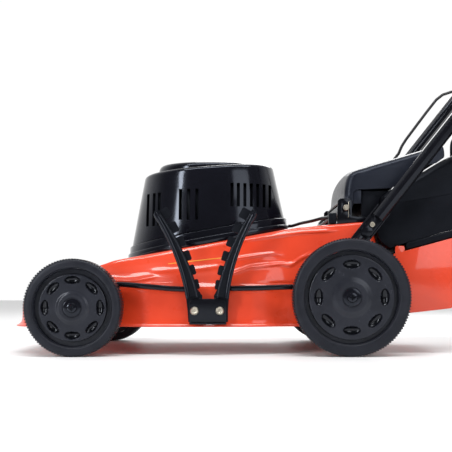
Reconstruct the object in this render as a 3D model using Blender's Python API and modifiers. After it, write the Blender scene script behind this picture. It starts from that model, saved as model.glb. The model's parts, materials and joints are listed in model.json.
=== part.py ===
"""Electric rotary lawn mower, in metres. +Z is up, the front points to -X and the left side to -Y.
Lengths along the mower are measured from the front wheels' centres, and the whole model is then
shifted so that the middle of its footprint is the origin."""

from math import atan2, cos, hypot, pi, radians, sin, sqrt, tan

import bmesh
import bpy
from mathutils import Matrix, Vector

# Clearances
GAP = 0.0003
RUNNING_GAP = 0.0004
BORE_GAP = 0.0008

# Wheels
WHEELBASE = 0.540
FRONT_WHEEL_RADIUS = 0.095
REAR_WHEEL_RADIUS = 0.115
WHEEL_FACE = 0.255
TYRE_WIDTH = 0.045
FRONT_SIDEWALL = 0.018
REAR_SIDEWALL = 0.023
TYRE_SHOULDER = 0.005
RIM_WALL = 0.0035
WHEEL_STEPS = 28
DIMPLE_COUNT = 8
DIMPLE_DEPTH = 0.0035
FRONT_DIMPLE = (0.0307, 0.0154)
REAR_DIMPLE = (0.0346, 0.0173)
FRONT_DIMPLE_CIRCLE = 0.0538
REAR_DIMPLE_CIRCLE = 0.0644
FRONT_HUB_RADIUS = 0.0334
REAR_HUB_RADIUS = 0.0404
HUB_BARREL_RADIUS = 0.015
HUB_BARREL_STAND = 0.004
HUB_SCREW_RADIUS = 0.0098
HUB_SCREW_HEIGHT = 0.004
HUB_SHANK_RADIUS = 0.0025
HUB_SHANK_LENGTH = 0.012
AXLE_RADIUS = 0.006
AXLE_TIP = 0.010
AXLE_BEND = 0.009
SPACER_RADIUS = 0.009
BUSH_RADIUS = 0.010
BUSH_FLANGE = 0.014
BUSH_FLANGE_WALL = 0.002
BUSH_LENGTH = 0.010
WEB_DEPTH = 0.007
GROOVE_DEPTH = 0.016
HUB_DEPTH = 0.0045
WASHER_RADIUS = 0.0173
WASHER_HEIGHT = 0.0015
FRONT_WEB_RADIUS = 0.0655
REAR_WEB_RADIUS = 0.0825

# Height adjusters
FRONT_PIVOT = (-0.063, 0.118)
REAR_PIVOT_BEHIND = 0.062
REAR_PIVOT_HEIGHT = 0.138
CRANK_PLANE = 0.1985
LEVER_RADIUS = 0.0055
LEVER_PLANE = 0.2085
FRONT_LEVER = ((-0.010, 0.132), (0.040, 0.1385), (0.084, 0.1405), (0.140, 0.1360), (0.190, 0.1315),
               (0.230, 0.1305))
FRONT_JOG = (0.090, 0.115)
REAR_JOG = (0.424, 0.396)
REAR_LEVER = ((0.560, 0.1385), (0.500, 0.1375), (0.430, 0.1355), (0.360, 0.1330), (0.296, 0.1320))

# Deck
STEEL = 0.002
LIP_OVERHANG = 0.140
LIP_FLARE = 0.006
LIP_HEIGHT = 0.057
LIP_DEPTH = 0.006
NOSE_OVERHANG = 0.127
DECK_REAR = 0.634
DECK_UPPER_REAR = 0.610
SKIRT_HALF_FRONT = 0.188
SKIRT_HALF_MIDDLE = 0.200
SKIRT_HALF_REAR = 0.180
SHOULDER_HALF = 0.155
WAIST_LEDGE = 0.007
WAIST_FRONT = 0.110
WAIST = 0.136
CREST_SLOPE = radians(10.3)
CREST_START = 0.095
CREST_START_HEIGHT = 0.195
CREST_END = 0.440
CREST_NOSE = ((-0.140, 0.122), (-0.085, 0.148), (-0.030, 0.163), (0.038, 0.1795))
CREST_TAIL = ((0.497, 0.262), (0.571, 0.268), (0.640, 0.271))
TUNNEL_HALF = 0.125
TUNNEL_FLOOR = 0.196
TUNNEL_ROOF = 0.250

# Rear shroud and discharge chute
SHROUD_HALF = 0.175
SHROUD_REAR = 0.760
SHROUD_FOOT_FRONT = 0.079
SHROUD_FOOT_REAR = 0.092
SHROUD_WALL = 0.0025
SHROUD_SEAT = 0.0007
GROUND_CLEARANCE = 0.020
TAB_START = 0.637
TAB_END = 0.656
TAB_HEIGHT = 0.218
CHUTE_START = 0.470
CHUTE_END = 0.600
CHUTE_START_HEIGHT = 0.076
CHUTE_WALL = 0.0025
CHUTE_SIDE = 0.045

# Motor cover
COVER_CENTRE = 0.250
COVER_FRONT = 0.085
COVER_REAR = 0.420
COVER_HALF = 0.150
COVER_TOP_FRONT = 0.112
COVER_TOP_REAR = 0.397
COVER_TOP_HALF = 0.133
COVER_TOP_HEIGHT = 0.3765
COVER_SHOULDER_HEIGHT = COVER_TOP_HEIGHT - 0.0075
COVER_TOP_SLOPE = radians(4.0)
COVER_EDGE = 0.009
COVER_WALL = 0.003
COVER_RIM = 0.002
COVER_FRONT_POWER = 2.15
COVER_REAR_POWER = 2.9
BASE_FRONT = 0.0755
BASE_REAR = 0.430
BASE_HALF = 0.154
BASE_LOWER_BAND = 0.014
BASE_HEIGHT = 0.029
BASE_STEP = 0.004
BASE_WALL = 0.010
CAP_FRONT = 0.143
CAP_REAR = 0.352
CAP_HALF = 0.095
CAP_TOP = COVER_TOP_HEIGHT + 0.025
CAP_EDGE = 0.012
SLOT_WIDTH = 0.0065
SLOT_GROUPS = (
    ((0.1275, 0.1420, 0.1540), 0.20, 0.72),
    ((0.2000, 0.2170, 0.2345), 0.19, 0.70),
    ((0.3070, 0.3200, 0.3335, 0.3470, 0.3605, 0.3740, 0.3865), 0.25, 0.69),
)
GUIDE_INSET = 0.032
GUIDE_WALL = 0.0025
GUIDE_TOP = 0.030

# Motor
MOTOR_RADIUS = 0.064
MOTOR_FOOT_RADIUS = 0.080
MOTOR_FOOT_TOP = 0.252
MOTOR_HEADROOM = 0.0395
MOTOR_CAN_HEIGHT = COVER_TOP_HEIGHT - MOTOR_FOOT_TOP - MOTOR_HEADROOM
MOTOR_CORNER = 0.004
BELL_RADIUS = 0.045
BELL_HEIGHT = 0.012
SHAFT_RADIUS = 0.008
FAN_RADIUS = 0.052
FAN_HEIGHT = 0.009
FAN_VANE = 0.0016
FAN_HUB_RADIUS = 0.014
FAN_BLADES = 6
SHAFT_TAIL = 0.004
FAN_STAND = 0.002
CAPACITOR_RADIUS = 0.018
CAPACITOR_HEIGHT = 0.070
CAPACITOR_OFFSET = 0.105

# Blade
BLADE_RADIUS = 0.190
BLADE_WIDTH = 0.048
BLADE_THICKNESS = 0.003
BLADE_HEIGHT = 0.068
BLADE_GROUND = 0.006
BLADE_EDGE = 0.060
HUB_RADIUS = 0.022
HUB_HEIGHT = 0.034
BLADE_BOLT_RADIUS = 0.011
BLADE_BOLT_HEAD = 0.007

# Combs
COMB_PLANE = 0.2150
COMB_PLATE = 0.003
COMB_WIDTH = 0.0305
COMB_TEETH = 6
COMB_TOOTH_LOW = 0.135
COMB_PITCH = 0.0268
COMB_TOOTH_HALF = 0.0090
COMB_RIDGE = 0.006
COMB_RIDGE_FOOT = 0.0265
COMB_RIDGE_TIP = 0.0125
COMB_FOOT_WIDTH = 0.0275
COMB_FRONT_FOOT = (0.222, 0.066)
COMB_FRONT_TIP = (0.1515, 0.281)
COMB_REAR_FOOT = (0.300, 0.066)
COMB_REAR_TIP = (0.3590, 0.282)
COMB_BOW = 0.016
BRACKET_FRONT = 0.224
BRACKET_REAR = 0.297
BRACKET_FOOT = 0.061
BRACKET_TOP = 0.112
BRACKET_CORNER = 0.018
BRACKET_LIP = 0.006
COMB_BOLT_X = (0.2345, 0.2840)
COMB_BOLT_Z = 0.088
COMB_BOLT_RADIUS = 0.004
COMB_BOLT_HEAD = 0.0088
COMB_BOLT_HEAD_HEIGHT = 0.0045
COMB_BOSS_RADIUS = 0.0095
COMB_CORNER = 0.004
COMB_SKIN = 0.0005

# Flap
HINGE = (0.541, 0.298)
HINGE_ROD_RADIUS = 0.004
FLAP_HALF = 0.140
FLAP_WALL = 0.003
FLAP_TOP = ((0.5345, 0.318), (0.5355, 0.340), (0.5390, 0.360), (0.5450, 0.372), (0.5545, 0.382),
            (0.5670, 0.389), (0.6000, 0.399), (0.6450, 0.411), (0.7420, 0.4395))
FLAP_UNDER = ((0.7450, 0.4330), (0.7440, 0.4020), (0.7280, 0.3905), (0.7160, 0.3885), (0.7050, 0.3840),
              (0.6900, 0.3740), (0.6600, 0.3530), (0.6360, 0.3390), (0.5640, 0.3360), (0.5570, 0.3300),
              (0.5560, 0.3020), (0.5500, 0.2890), (0.5340, 0.2870), (0.5260, 0.2980), (0.5290, 0.3120))
FLAP_HOLLOW = ((0.5385, 0.3220), (0.5390, 0.3400), (0.5422, 0.3590), (0.5478, 0.3700), (0.5565, 0.3792),
               (0.5680, 0.3860), (0.6005, 0.3959), (0.6455, 0.4079), (0.7395, 0.4355), (0.7412, 0.4310),
               (0.7405, 0.3850), (0.6900, 0.3500), (0.6400, 0.3220))
FLAP_SECTIONS = (0.0, 0.45, 0.75, 0.93, 0.965, 0.985, 1.0)
FLAP_BOW = 0.010
FLAP_BOW_SPAN = (0.535, 0.600)
FLAP_CROWN = 0.012
FLAP_CROWN_SPAN = (0.528, 0.575)
FLAP_EDGE = 0.010
FLAP_BRACKET_HALF = 0.144
FLAP_BRACKET_FRONT = 0.523
FLAP_BRACKET_REAR = 0.585
FLAP_BRACKET_WALL = 0.003
EAR_TOP = 0.3175
EAR_AHEAD = 0.0165
EAR_BEHIND = 0.0125
EAR_CORNER = 0.005
EAR_FOOT = 0.012
SPRING_COIL_RADIUS = 0.0055
SPRING_WIRE = 0.0009
SPRING_TURNS = 3
SPRING_PITCH = 0.0021
CLAMP_FRONT = 0.506
CLAMP_REAR = 0.5215
CLAMP_LEFT = -0.150
CLAMP_RIGHT = -0.127
CLAMP_TOP = 0.287

# Handle
HANDLE_ANGLE = radians(51.7)
TUBE_RADIUS = 0.0135
TUBE_WALL = 0.0015
FOOT_PLATE = 0.004
FOOT_WIDTH = 0.033
HANDLE_FOOT = (0.598, 0.2725)
FOOT_LENGTH = 0.215
FOOT_PLATE_TOP = 0.012
TONGUE_LENGTH = 0.045
TONGUE_WIDTH = 0.024
LOWER_TUBE_LENGTH = 0.500
FOOT_BOLT_BACK = 0.016
FOOT_BOLT_RADIUS = 0.004
FOOT_BOLT_HEAD = 0.007
CLAMP_BACK = 0.025
UPPER_OVERLAP = 0.022
UPPER_LENGTH = 0.425
UPPER_BEND = 0.060
CLAMP_BOLT_RADIUS = 0.004
KNOB_RADIUS = 0.021
KNOB_HEIGHT = 0.020
KNOB_LOBES = 5
GRIP_WALL = 0.004
GRIP_HALF = 0.085

# Controls
SWITCH_DISTANCE = UPPER_LENGTH - 0.190
SWITCH_LENGTH = 0.096
SWITCH_WIDTH = 0.052
SWITCH_DEPTH = 0.044
BUTTON_RADIUS = 0.008
BUTTON_STAND = 0.006
BUTTON_TRAVEL = 0.004
INLET_RADIUS = 0.014
INLET_LENGTH = 0.022
INLET_WALL = 0.004
BAIL_BACK = 0.115
BAIL_RADIUS = 0.0035
BAIL_LIFT = 0.055
BAIL_SHORT = 0.010
BAIL_PIN = 0.006
BAIL_CLEARANCE = 0.010

# Collector
COLLECTOR_HALF = 0.168
COLLECTOR_WALL = 0.003
COLLECTOR_SLOPE = radians(15.3)
COLLECTOR_FOOT = (0.660, 0.2250)
COLLECTOR_REAR = 1.055
COLLECTOR_PARTING = ((0.611, 0.300), (1.055, 0.372))
COLLECTOR_FRONT = ((0.5970, 0.2563), (0.6085, 0.2275), (0.6286, 0.2135))
COLLECTOR_HEEL = ((0.985, 0.3150), (1.035, 0.340))
COLLECTOR_CROWN = ((0.616, 0.322), (0.650, 0.345), (0.692, 0.367), (0.745, 0.398), (0.815, 0.427),
                   (0.900, 0.440), (0.985, 0.434), (1.030, 0.412))
MOUTH_HALF = 0.120
MOUTH_FLOOR = 0.230
RAIL_THICKNESS = 0.016
RAIL_REAR = 0.960
RAIL_HALF = 0.170
RAIL_FRAME = 0.020
CARRY_START = 0.800
CARRY_END = 0.940
CARRY_HEIGHT = 0.034
CARRY_RADIUS = 0.008

# Cables
CABLE_RADIUS = 0.0035
CABLE_SIDE = 0.154
CABLE_GAP = 0.0012
CABLE_OVERLAP = 0.006
CABLE_ENTRY = 0.014
CLAMP_ENTRY = 0.009
LEAD_RISE = 0.003
LEAD_ROUTE = ((0.008, 0.0), (0.025, -0.040), (0.045, -0.110))
CABLE_ROUTE = ((0.513, -0.060, 0.2790), (0.511, 0.090, 0.2790), (0.510, 0.138, 0.2810),
               (0.520, 0.157, 0.2940), (0.552, 0.158, 0.3260), (0.620, 0.156, 0.3850))
CABLE_RISE = ((-0.281, -0.0295), (-0.2365, -0.0360), (-0.1890, -0.0375), (-0.1285, -0.0390),
              (-0.092, -0.0370), (-0.066, -0.0220), (-0.040, -0.0050))

# Places that follow from the sizes above
REAR_AXLE = (WHEELBASE, REAR_WHEEL_RADIUS)
FRONT_AXLE = (0.0, FRONT_WHEEL_RADIUS)
REAR_PIVOT = (WHEELBASE + REAR_PIVOT_BEHIND, REAR_PIVOT_HEIGHT)
ALONG = Vector((cos(HANDLE_ANGLE), 0.0, sin(HANDLE_ANGLE)))
BEHIND = Vector((sin(HANDLE_ANGLE), 0.0, -cos(HANDLE_ANGLE)))
FOOT_POINT = Vector((HANDLE_FOOT[0], 0.0, HANDLE_FOOT[1]))
HANDLE_HALF = SKIRT_HALF_REAR + GAP + FOOT_PLATE + TUBE_RADIUS + 2 * GAP
UPPER_HALF = HANDLE_HALF - 2 * TUBE_RADIUS - 3 * GAP
FOLD_POINT = FOOT_POINT + ALONG * (LOWER_TUBE_LENGTH - CLAMP_BACK)
GRIP_POINT = FOLD_POINT + ALONG * UPPER_LENGTH
BAIL_BAR = GRIP_POINT - ALONG * BAIL_SHORT + BEHIND * BAIL_LIFT
SHIFT = (LIP_OVERHANG - BAIL_BAR.x - BAIL_RADIUS) / 2
SIDES = {"left": -1, "right": 1}

PAINT = ("orange paint", (0.80, 0.11, 0.045), 0.30, 0.0)
BLACK_PAINT = ("black paint", (0.015, 0.016, 0.019), 0.35, 0.0)
BLACK_GLOSS = ("black gloss plastic", (0.012, 0.012, 0.016), 0.22, 0.0)
BLACK_MATTE = ("black matte plastic", (0.022, 0.024, 0.028), 0.50, 0.0)
WHEEL_PLASTIC = ("wheel plastic", (0.028, 0.030, 0.040), 0.45, 0.0)
TYRE_PLASTIC = ("tyre", (0.030, 0.032, 0.042), 0.55, 0.0)
ZINC = ("zinc", (0.62, 0.60, 0.55), 0.30, 1.0)
BARE_STEEL = ("bare steel", (0.45, 0.45, 0.45), 0.35, 1.0)
FOAM = ("foam grip", (0.020, 0.020, 0.022), 0.85, 0.0)
CABLE_SKIN = ("cable skin", (0.015, 0.015, 0.018), 0.45, 0.0)
RED_PLASTIC = ("button plastic", (0.45, 0.03, 0.02), 0.35, 0.0)
ALUMINIUM = ("cast aluminium", (0.50, 0.51, 0.53), 0.40, 1.0)
AMBER = ("capacitor shell", (0.55, 0.55, 0.57), 0.45, 0.0)


def clear_scene():
    for old in list(bpy.data.objects):
        bpy.data.objects.remove(old)


def make_collection(name):
    group = bpy.data.collections.new(name)
    bpy.context.scene.collection.children.link(group)
    return group


def finish(look):
    """The material of a look, made the first time that it is asked for."""
    name, colour, roughness, metallic = look
    found = bpy.data.materials.get(name)
    if found:
        return found
    made = bpy.data.materials.new(name)
    made.use_nodes = True
    shader = made.node_tree.nodes["Principled BSDF"]
    shader.inputs["Base Color"].default_value = (*colour, 1.0)
    shader.inputs["Roughness"].default_value = roughness
    shader.inputs["Metallic"].default_value = metallic
    return made


def axis_empty(name, x, z, y=0.0):
    """An empty on a joint's axis."""
    empty = bpy.data.objects.new(name, None)
    PARTS.objects.link(empty)
    empty.parent = ORIGIN
    empty.location = (x, y, z)
    return empty


def shade(mesh):
    mesh.shade_smooth()
    mesh.set_sharp_from_angle(angle=radians(35))


def add_mesh(name, mesh, look, carrier=None, group=None):
    """Put a mesh, drawn in the mower's own lengths, on the empty that carries it."""
    shade(mesh)
    made = bpy.data.objects.new(name, mesh)
    (group or PARTS).objects.link(made)
    if look:
        mesh.materials.clear()
        mesh.materials.append(finish(look))
    made.parent = carrier or ORIGIN
    if carrier and carrier is not ORIGIN:
        mesh.transform(Matrix.Translation(-carrier.location))
    return made


def from_bmesh(name, shape, look, carrier=None, group=None):
    bmesh.ops.recalc_face_normals(shape, faces=shape.faces)
    mesh = bpy.data.meshes.new(name)
    shape.to_mesh(mesh)
    shape.free()
    return add_mesh(name, mesh, look, carrier, group)


def towards(direction):
    """The rotation that turns +Z to a direction."""
    return Vector(direction).to_track_quat("Z", "Y").to_matrix().to_4x4()


def box_mesh(low, high, shape=None):
    shape = shape or bmesh.new()
    centre = (Vector(low) + Vector(high)) / 2
    size = Vector(high) - Vector(low)
    bmesh.ops.create_cube(shape, size=1.0, matrix=Matrix.Translation(centre) @ Matrix.Diagonal((*size, 1)))
    return shape


def rod_mesh(start, end, radius, sides=16, shape=None):
    """A solid round bar from one point to another."""
    start, end = Vector(start), Vector(end)
    shape = shape or bmesh.new()
    bmesh.ops.create_cone(
        shape, cap_ends=True, segments=sides, radius1=radius, radius2=radius, depth=(end - start).length,
        matrix=Matrix.Translation((start + end) / 2) @ towards(end - start),
    )
    return shape


def box(name, low, high, look, carrier=None):
    return from_bmesh(name, box_mesh(low, high), look, carrier)


def rod(name, start, end, radius, look, carrier=None, sides=16):
    return from_bmesh(name, rod_mesh(start, end, radius, sides), look, carrier)


def turned(name, profile, centre, direction, look, carrier=None, steps=24, group=None):
    """A turned piece. The profile holds (radius, height) pairs, down its outer side from the top."""
    mesh = bpy.data.meshes.new(name)
    closed = profile[0][0] > 0 and profile[-1][0] > 0
    count = len(profile)
    edges = [(i, i + 1) for i in range(count - 1)]
    if closed:
        edges.append((count - 1, 0))
    mesh.from_pydata([(r, 0.0, h) for r, h in profile], edges, [])
    made = bpy.data.objects.new(name, mesh)
    (group or PARTS).objects.link(made)
    screw = made.modifiers.new("turn", "SCREW")
    screw.steps = steps
    screw.render_steps = steps
    screw.use_merge_vertices = True
    screw.merge_threshold = 0.00001
    screw.use_smooth_shade = True
    if look:
        mesh.materials.append(finish(look))
    made.parent = carrier or ORIGIN
    base = carrier.location if carrier and carrier is not ORIGIN else Vector()
    made.location = Vector(centre) - base
    made.rotation_euler = towards(direction).to_euler()
    return made


def flat_mesh(outline, low, high, plane="XZ"):
    """A closed outline in XZ (or XY) given a thickness along Y (or Z)."""
    shape = bmesh.new()
    if plane == "XZ":
        ring = [shape.verts.new((x, low, z)) for x, z in outline]
        step = Vector((0.0, high - low, 0.0))
    else:
        ring = [shape.verts.new((x, y, low)) for x, y in outline]
        step = Vector((0.0, 0.0, high - low))
    face = shape.faces.new(ring)
    moved = bmesh.ops.extrude_face_region(shape, geom=[face])["geom"]
    bmesh.ops.translate(shape, vec=step, verts=[v for v in moved if isinstance(v, bmesh.types.BMVert)])
    return shape


def flat(name, outline, low, high, look, carrier=None, plane="XZ"):
    return from_bmesh(name, flat_mesh(outline, low, high, plane), look, carrier)


def cut(piece, shape, name="cut"):
    """Take a shape out of a piece. The cutter is drawn in the mower's own lengths."""
    cutter = from_bmesh(f"{piece.name}_{name}", shape, None, None, CUTTERS)
    hide(cutter)
    remove = piece.modifiers.new(name, "BOOLEAN")
    remove.operation = "DIFFERENCE"
    remove.solver = "EXACT"
    remove.object = cutter
    return cutter


def join(piece, other, name="join"):
    """Join another object to a piece."""
    hide(other)
    add = piece.modifiers.new(name, "BOOLEAN")
    add.operation = "UNION"
    add.solver = "EXACT"
    add.object = other


def hide(cutter):
    cutter.display_type = "WIRE"
    cutter.hide_render = True


def ring_loft(rings, close_start=False, close_end=False):
    """A skin over rings with the same number of points each."""
    shape = bmesh.new()
    loops = [[shape.verts.new(p) for p in ring] for ring in rings]
    count = len(rings[0])
    for low, high in zip(loops, loops[1:]):
        for i in range(count):
            shape.faces.new((low[i], low[(i + 1) % count], high[(i + 1) % count], high[i]))
    if close_start:
        shape.faces.new(loops[0][::-1])
    if close_end:
        shape.faces.new(loops[-1])
    return shape


def smooth_route(points, count):
    """Evenly spread points on a smooth curve through a route's own points."""
    points = [Vector(p) for p in points]
    ends = [2 * points[0] - points[1]] + points + [2 * points[-1] - points[-2]]
    fine = []
    for a, b, c, d in zip(ends, ends[1:], ends[2:], ends[3:]):
        for k in range(24):
            t = k / 24
            fine.append(0.5 * (2 * b + (c - a) * t + (2 * a - 5 * b + 4 * c - d) * t * t
                               + (3 * b - a - 3 * c + d) * t ** 3))
    fine.append(points[-1])
    lengths = [0.0]
    for a, b in zip(fine, fine[1:]):
        lengths.append(lengths[-1] + (b - a).length)
    spread, k = [], 0
    for i in range(count):
        want = lengths[-1] * i / (count - 1)
        while k < len(fine) - 2 and lengths[k + 1] < want:
            k += 1
        share = (want - lengths[k]) / (lengths[k + 1] - lengths[k])
        spread.append(fine[k].lerp(fine[k + 1], share))
    return spread


def bent_route(points, bend, count=4):
    """A route's corners turned into round bends."""
    points = [Vector(p) for p in points]
    route = [points[0]]
    for before, corner, after in zip(points, points[1:], points[2:]):
        back, on = (before - corner).normalized(), (after - corner).normalized()
        half = back.angle(on) / 2
        centre = corner + (back + on).normalized() * (bend / sin(half))
        start = corner + back * (bend / tan(half)) - centre
        end = corner + on * (bend / tan(half)) - centre
        route += [centre + start.slerp(end, k / count).normalized() * bend for k in range(count + 1)]
    route.append(points[-1])
    return route


def tube_mesh(points, radius, resolution=2, caps=True):
    """The mesh of a round tube along points, its caps welded."""
    curve = bpy.data.curves.new("tube", "CURVE")
    curve.dimensions = "3D"
    curve.bevel_depth = radius
    curve.bevel_resolution = resolution
    curve.use_fill_caps = caps
    line = curve.splines.new("POLY")
    line.points.add(len(points) - 1)
    for spot, place in zip(line.points, points):
        spot.co = (*place, 1.0)
    guide = bpy.data.objects.new("tube", curve)
    CUTTERS.objects.link(guide)
    graph = bpy.context.evaluated_depsgraph_get()
    mesh = bpy.data.meshes.new_from_object(guide.evaluated_get(graph))
    bpy.data.objects.remove(guide)
    shape = bmesh.new()
    shape.from_mesh(mesh)
    bmesh.ops.remove_doubles(shape, verts=shape.verts, dist=0.00002)
    if caps:
        bmesh.ops.recalc_face_normals(shape, faces=shape.faces)
    shape.to_mesh(mesh)
    shape.free()
    return mesh


def tube(name, points, radius, look, carrier=None, resolution=2, wall=0.0):
    """A round bar, or a pipe where it has a wall."""
    piece = add_mesh(name, tube_mesh(points, radius, resolution, caps=not wall), look, carrier)
    if wall:
        hollow = piece.modifiers.new("wall", "SOLIDIFY")
        hollow.thickness = wall
        hollow.offset = -1.0
    return piece


def arc(centre, radius, start, end, count):
    """Points on an arc in a plane, angles in degrees."""
    return [
        (centre[0] + radius * cos(radians(start + (end - start) * k / count)),
         centre[1] + radius * sin(radians(start + (end - start) * k / count)))
        for k in range(count + 1)
    ]


def between(table, x):
    """Straight-line reading of a table of (x, value) pairs."""
    if x <= table[0][0]:
        return table[0][1]
    for (x0, v0), (x1, v1) in zip(table, table[1:]):
        if x <= x1:
            return v0 + (v1 - v0) * (x - x0) / (x1 - x0)
    return table[-1][1]


def smooth_step(x, start, end):
    t = min(max((x - start) / (end - start), 0.0), 1.0)
    return t * t * (3 - 2 * t)


def crest(x):
    """Height of the deck's shoulder line, and of the flat seat that the motor cover stands on."""
    if x < CREST_NOSE[-1][0]:
        return between(CREST_NOSE, x)
    if x > CREST_TAIL[0][0]:
        return between(CREST_TAIL, x)
    plane = seat(min(max(x, COVER_FRONT - 0.020), CREST_END))
    if x < COVER_FRONT - 0.020:
        nose, plane_start = CREST_NOSE[-1], seat(COVER_FRONT - 0.020)
        share = (x - nose[0]) / (COVER_FRONT - 0.020 - nose[0])
        return nose[1] + (plane_start - nose[1]) * share
    if x > CREST_END:
        share = (x - CREST_END) / (CREST_TAIL[0][0] - CREST_END)
        return plane + (CREST_TAIL[0][1] - plane) * share
    return plane


def seat(x, lift=0.0):
    """The sloping flat on top of the deck."""
    return CREST_START_HEIGHT + tan(CREST_SLOPE) * (x - CREST_START) + lift


def skirt_half(x):
    """Half the deck's width, drawn in beside the wheels."""
    out = smooth_step(x, 0.080, 0.150) * (1 - smooth_step(x, 0.340, 0.420))
    side = SKIRT_HALF_FRONT if x < 0.25 else SKIRT_HALF_REAR
    return side + (SKIRT_HALF_MIDDLE - side) * out


def waist(x):
    return WAIST_FRONT + (WAIST - WAIST_FRONT) * smooth_step(x, -0.127, -0.085)


def half_outline(front, rear, half, front_corner, rear_corner, stations):
    """(x, y) from the middle of the rear, round one side, to the middle of the front."""
    points = [(rear, 0.0)]
    for k in range(4):
        turn = radians(30 * k)
        wide = half(rear - rear_corner)
        points.append((rear - rear_corner * (1 - cos(turn)), wide - rear_corner * (1 - sin(turn))))
    for k in range(1, stations):
        x = rear - rear_corner + (front + front_corner - rear + rear_corner) * k / stations
        points.append((x, half(x)))
    for k in range(6):
        turn = radians(18 * k)
        wide = half(front + front_corner)
        points.append((front + front_corner * (1 - sin(turn)), wide - front_corner * (1 - cos(turn))))
    points.append((front, 0.0))
    return points


def deck_ring(front, rear, half, height, front_corner=0.070, rear_corner=0.016, stations=14):
    side = half_outline(front, rear, half, front_corner, rear_corner, stations)
    ring = [Vector((x, y, height(x))) for x, y in side]
    ring += [Vector((x, -y, height(x))) for x, y in side[-2:0:-1]]
    return ring


def make_deck():
    def shoulder(x):
        return SHOULDER_HALF

    def mixed(share):
        return lambda x: skirt_half(x) + (SHOULDER_HALF - skirt_half(x)) * share

    def climb(share, drop=0.0):
        return lambda x: waist(x) + (crest(x) - waist(x)) * share - drop

    upper = DECK_UPPER_REAR
    rings = [
        deck_ring(-LIP_OVERHANG, DECK_REAR + 0.001, lambda x: skirt_half(x) + LIP_FLARE,
                  lambda x: LIP_HEIGHT),
        deck_ring(-NOSE_OVERHANG - 0.002, DECK_REAR, skirt_half, lambda x: LIP_HEIGHT + LIP_DEPTH),
        deck_ring(-NOSE_OVERHANG, DECK_REAR, skirt_half, lambda x: waist(x) - 0.004),
        deck_ring(-NOSE_OVERHANG + WAIST_LEDGE, DECK_REAR - WAIST_LEDGE,
                  lambda x: skirt_half(x) - WAIST_LEDGE, lambda x: waist(x) + 0.005),
        deck_ring(-0.092, upper, mixed(0.55), climb(0.45)),
        deck_ring(-0.048, upper - 0.0145, mixed(0.88), climb(0.90)),
        deck_ring(-0.025, upper - 0.022, shoulder, climb(1.0)),
        deck_ring(0.020, upper - 0.064, lambda x: SHOULDER_HALF - 0.045, climb(1.0), 0.05),
    ]
    ridge = [Vector((p.x, 0.0, crest(p.x))) for p in rings[-1]]
    shape = ring_loft(rings + [ridge])
    bmesh.ops.remove_doubles(shape, verts=shape.verts, dist=0.00005)
    deck = from_bmesh("deck", shape, PAINT)
    shell = deck.modifiers.new("steel", "SOLIDIFY")
    shell.thickness = STEEL
    shell.offset = -1.0
    shell.use_even_offset = True
    cut(deck, rod_mesh((COVER_CENTRE, 0, 0.15), (COVER_CENTRE, 0, 0.27), SHAFT_RADIUS + 0.006, 16), "shaft")
    cut(deck, box_mesh((DECK_UPPER_REAR - 0.030, -TUNNEL_HALF - GAP, TUNNEL_FLOOR - 0.004),
                       (DECK_UPPER_REAR + 0.010, TUNNEL_HALF + GAP, TUNNEL_ROOF)), "tunnel")
    reach = SKIRT_HALF_MIDDLE + LIP_FLARE
    for label, (x, z) in (("front", FRONT_PIVOT), ("rear", REAR_PIVOT)):
        hole = BUSH_RADIUS / cos(pi / 12) + GAP
        cut(deck, rod_mesh((x, -reach, z), (x, reach, z), hole, 12), f"{label}_axle")
    for label, x in zip(("front", "rear"), COMB_BOLT_X):
        cut(deck, rod_mesh((x, -0.25, COMB_BOLT_Z), (x, -0.15, COMB_BOLT_Z), COMB_BOLT_RADIUS + GAP, 10),
            f"{label}_bolt_hole")


def shroud_top(x):
    """Height of the shroud's sloping top, just under the collector's rail."""
    return rail_foot(x) - GAP


def rail_foot(x):
    return COLLECTOR_FOOT[1] - RAIL_THICKNESS + tan(COLLECTOR_SLOPE) * (x - COLLECTOR_FOOT[0])


def make_shroud():
    front = DECK_REAR + 0.001 + 2 * GAP
    neck = DECK_UPPER_REAR + SHROUD_SEAT
    rear = SHROUD_REAR
    outline = [
        (front, SHROUD_FOOT_FRONT), (rear - 0.010, SHROUD_FOOT_REAR), (rear, SHROUD_FOOT_REAR + 0.010),
        (rear, shroud_top(rear)), (neck, shroud_top(neck)), (front, WAIST + 0.009),
    ]
    ahead, back = front - SHROUD_HALF / 4, rear - SHROUD_WALL
    inner = [
        (ahead, GROUND_CLEARANCE), (back, GROUND_CLEARANCE), (back, shroud_top(rear) - SHROUD_WALL),
        (ahead, shroud_top(ahead) - SHROUD_WALL),
    ]
    shroud = flat("rear_shroud", outline, -SHROUD_HALF, SHROUD_HALF, PAINT)
    inside = SHROUD_HALF - SHROUD_WALL
    cut(shroud, flat_mesh(inner, -inside, inside), "inside")
    for label, side in SIDES.items():
        low, high = sorted((side * (inside + GAP), side * (SHROUD_HALF - GAP)))
        bottom = shroud_top(TAB_START) - 0.010
        corner, top = SHROUD_WALL, TAB_HEIGHT
        outline = [(TAB_START, bottom), (TAB_END, bottom), (TAB_END, top - corner), (TAB_END - corner, top),
                   (TAB_START + corner, top), (TAB_START, top - corner)]
        tab = from_bmesh(f"rear_shroud_{label}_tab", flat_mesh(outline, low, high), None, None, CUTTERS)
        join(shroud, tab, f"{label}_tab")


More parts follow.
